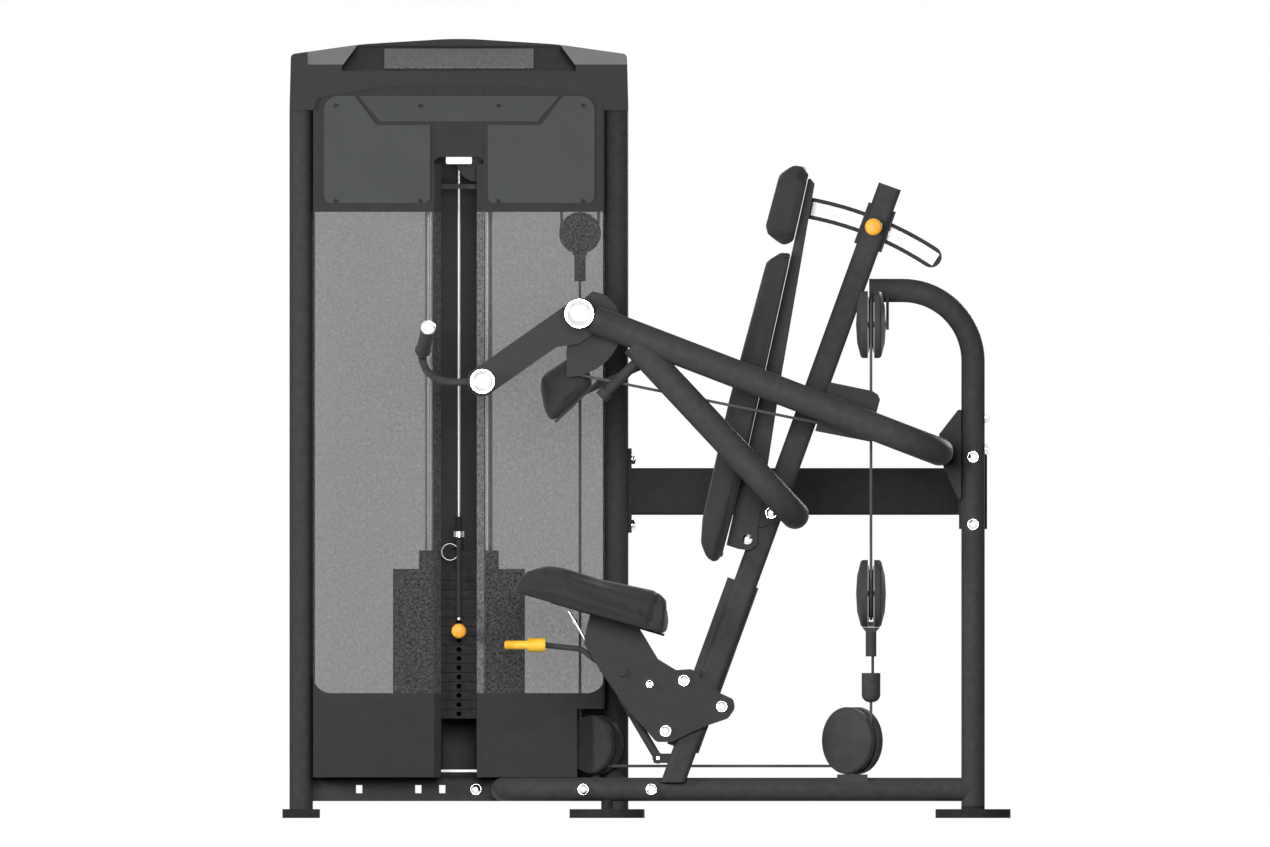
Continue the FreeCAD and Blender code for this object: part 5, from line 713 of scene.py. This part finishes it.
# round heads of a node on both sides of the machine, each facing outwards
def outwardHeads(name, test):
    heads = []
    for mid, radius, height, low, high in discsOf(name, "y", test):
        left = mid.y < seatY
        heads.append(((mid.x, high.y if left else low.y, mid.z), (0, -1 if left else 1, 0), radius, height))
    return heads


def capsOn(piece, body, heads, material, make=boltCap):
    bm = bmesh.new()
    for centre, direction, radius, height in heads:
        make(bm, centre, direction, radius, height)
    place(piece, bm, material, body)


bolts = []
for mid, radius, height, low, high in discsOf("frame_bolts", "y", lambda lo, hi: (hi - lo).y < 0.0085):
    bolts.append(((mid.x, high.y, mid.z), (0, -1, 0), radius, height))
for mid, radius, height, low, high in discsOf("frame_bolts", "x", lambda lo, hi: (hi - lo).x < 0.0085):
    bolts.append(((low.x, mid.y, mid.z), (1, 0, 0), radius, height))
screws = [b for b in bolts if b[2] < 0.006]
bolts = [b for b in bolts if b[2] >= 0.006]
capsOn("frameBoltHeads", "frame", bolts, chrome)
capsOn("placardScrews", "frame", screws, blackNylon)
hubCaps = outwardHeads("hub_housings", lambda lo, hi: 0.015 < (hi - lo).y < 0.022)
capsOn("hubEndCaps", "frame", hubCaps, chrome, domeCap)
pivotBolt = {"x": 0.2147, "z": 0.5934, "radius": 0.0115, "head": 0.007, "half": 0.060}
pivots = [((pivotBolt["x"], seatY + sign * (pivotBolt["half"] - pivotBolt["head"]), pivotBolt["z"]), (0, sign, 0),
           pivotBolt["radius"], pivotBolt["head"]) for sign in (-1, 1)]
capsOn("backrestPivotHeads", "backrest", pivots, chrome)
carriageHeads = outwardHeads("seat_carriage", lambda lo, hi: (hi - lo).y < 0.0085)
capsOn("carriageBoltHeads", "seat", [h for h in carriageHeads if h[0][0] > -0.048], chrome)
for side in ("left", "right"):
    swivels = outwardHeads("handle_" + side, lambda lo, hi: (hi - lo).y < 0.015)
    capsOn("swivelCap" + side.title(), "handle_" + side, swivels, chrome, domeCap)
    bm = bmesh.new()
    for faces, low, high in islands(nodes["handle_" + side].data):
        if low.z > 1.0 and (high - low).z < 0.045:
            domed = Matrix.Translation((low + high) / 2) @ Matrix.Diagonal((*capSizes["gripDome"], 1))
            bmesh.ops.create_uvsphere(bm, u_segments=36, v_segments=20, radius=(high - low).x / 2 + 0.0004,
                                      matrix=domed)
    place("gripCap" + side.title(), bm, chrome, "handle_" + side, smooth=80)
print("bright heads made")


# Knobs: the lock knob on the column and the selector knob, turned from their own sizes
knobSizes = {"length": 0.028, "pinRadius": 0.005, "lockRadius": 0.0185, "selectorRadius": 0.016}


def knob(node, piece, body, material, radius):
    length, seat = knobSizes["length"], knobSizes["pinRadius"]
    low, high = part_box(node)
    mid = (low + high) / 2
    bm = bmesh.new()
    face = Vector((mid.x, low.y, mid.z))
    back = -length
    lathe(bm, [(0, -0.0004), (radius * 0.62, 0.0), (radius * 0.84, back * 0.06), (radius * 0.97, back * 0.2),
               (radius, back * 0.42), (radius * 0.93, back * 0.7), (radius * 0.7, back * 0.9),
               (radius * 0.52, back), (0, back)], face, (0, -1, 0), 56)
    place(piece, bm, material, body, replaced=[node], smooth=55)
    bm = bmesh.new()
    rodLength = (high.y - low.y) - length
    lathe(bm, [(0, 0), (seat, 0), (seat, rodLength - 0.0012), (seat * 0.7, rodLength), (0, rodLength)],
          face + Vector((0, length, 0)), (0, 1, 0), 28)
    place(piece + "Pin", bm, groundSteel, body, replaced=[node])


knob("lock_pin", "lockKnob", "lock", orangeNylon, knobSizes["lockRadius"])
knob("selector_pin", "selectorKnob", "selector", orangeNylon, knobSizes["selectorRadius"])
print("knobs made")


# Lanyard of the selector pin: split ring, limp cord and end ball
lanyardSizes = {"ringRadius": 0.0175, "ringWire": 0.0011, "ballRadius": 0.0042, "cordDiameter": 0.010}
lanyardTop, lanyardBend = Vector((towerX, 0.3281, 0.5919)), Vector((towerX, 0.3281, 0.520))
lanyardEnd = Vector((towerX, 0.2903, 0.4282))
lanyardPoints = [lanyardTop]
for step in range(25):
    share = step / 24
    near = lanyardBend + Vector((0, 0, 0.022))
    far = lanyardBend + (lanyardEnd - lanyardBend) * 0.24
    lanyardPoints.append(near * (1 - share) ** 2 + lanyardBend * (2 * share * (1 - share)) + far * share ** 2)
lanyardPoints.append(lanyardEnd)


def torus(bm, centre, axis, radius, wire, steps=56, around=14):
    grid = []
    matrix = Matrix.Translation(centre) @ turnTo(axis)
    for i in range(steps):
        a = math.tau * i / steps
        ring = []
        for j in range(around):
            b = math.tau * j / around
            r = radius + wire * math.cos(b)
            ring.append(bm.verts.new(matrix @ Vector((r * math.cos(a), r * math.sin(a), wire * math.sin(b)))))
        grid.append(ring)
    for i in range(steps):
        for j in range(around):
            bm.faces.new([grid[i][j], grid[(i + 1) % steps][j], grid[(i + 1) % steps][(j + 1) % around],
                          grid[i][(j + 1) % around]])


bm = bmesh.new()
torus(bm, (-0.4185, 0.3353, 0.5668), (0, 1, 0), lanyardSizes["ringRadius"], lanyardSizes["ringWire"])
splitRing = place("lanyardSplitRing", bm, groundSteel, "stack", replaced=["pin_lanyard"])
bm = bmesh.new()
bmesh.ops.create_uvsphere(bm, u_segments=28, v_segments=16, radius=lanyardSizes["ballRadius"],
                          matrix=Matrix.Translation((-0.3995, 0.2885, 0.4242)))
endBall = place("lanyardEndBall", bm, chrome, "stack", replaced=["pin_lanyard"])
curve = bpy.data.curves.new("lanyardCord", "CURVE")
curve.dimensions = "3D"
curve.bevel_depth = lanyardSizes["cordDiameter"] / 2
curve.bevel_resolution = 5
curve.resolution_u = 16
spline = curve.splines.new("POLY")
spline.points.add(len(lanyardPoints) - 1)
for point, co in zip(spline.points, lanyardPoints):
    point.co = (*co, 1)
curve.use_fill_caps = True
curve.materials.append(lanyardCord)
lanyard = bpy.data.objects.new("lanyardCord", curve)
scene.collection.objects.link(lanyard)
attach(lanyard, "stack")
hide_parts("pin_lanyard")
print("lanyard made")


# Light, backdrop and camera: white for the camera and for mirror surfaces, low for what lights the coats
studio = {"ambient": 0.05, "toward": (0, 0, 0.85),
          "keyLamp": {"at": (-4.4, -2.6, 1.6), "size": 1.6, "watts": 130},
          "frontLamp": {"at": (-0.2, -5.2, 1.3), "size": 1.8, "watts": 240},
          "topLamp": {"at": (0.2, 0.5, 4.2), "size": 1.8, "watts": 20},
          "backLamp": {"at": (2.4, 4.8, 2.2), "size": 1.6, "watts": 260}}
world = bpy.data.worlds.new("studio")
scene.world = world
world.use_nodes = True
tree = world.node_tree
tree.nodes.clear()
seen = addNode(tree, "ShaderNodeLightPath")
bright = addNode(tree, "ShaderNodeMath", {"operation": "MAXIMUM"}, i0=seen.outputs["Is Camera Ray"],
                 i1=seen.outputs["Is Transmission Ray"])
mirror = addNode(tree, "ShaderNodeMath", {"operation": "MAXIMUM"}, i0=bright.outputs[0],
                 i1=seen.outputs["Is Glossy Ray"])
mix = addNode(tree, "ShaderNodeMix", {"data_type": "RGBA"})
tree.links.new(mirror.outputs[0], mix.inputs["Factor"])
mix.inputs[6].default_value = (studio["ambient"], studio["ambient"], studio["ambient"], 1)
mix.inputs[7].default_value = (1, 1, 1, 1)
back = addNode(tree, "ShaderNodeBackground", Color=mix.outputs[2], Strength=1.0)
out = addNode(tree, "ShaderNodeOutputWorld")
tree.links.new(back.outputs["Background"], out.inputs["Surface"])


def areaLamp(name, at, size, watts):
    lamp = bpy.data.lights.new(name, "AREA")
    lamp.shape = "DISK"
    lamp.size = size
    lamp.energy = watts
    holder = bpy.data.objects.new(name, lamp)
    holder.location = at
    holder.rotation_euler = (Vector(studio["toward"]) - Vector(at)).to_track_quat("-Z", "Y").to_euler()
    scene.collection.objects.link(holder)


for name in ("keyLamp", "frontLamp", "topLamp", "backLamp"):
    areaLamp(name, **studio[name])

# the camera looks level along +Y at the middle of the photograph, without perspective
cameraSizes = {"at": (-0.0245, -6.0, 0.8403), "width": 2.705, "reach": 40}
camera = bpy.data.cameras.new("camera")
camera.type = "ORTHO"
camera.ortho_scale = cameraSizes["width"]
camera.clip_end = cameraSizes["reach"]
cameraHolder = bpy.data.objects.new("camera", camera)
cameraHolder.location = cameraSizes["at"]
cameraHolder.rotation_euler = (math.radians(90), 0, 0)
scene.collection.objects.link(cameraHolder)
scene.camera = cameraHolder
scene.view_settings.view_transform = "Standard"
print("light and camera set")
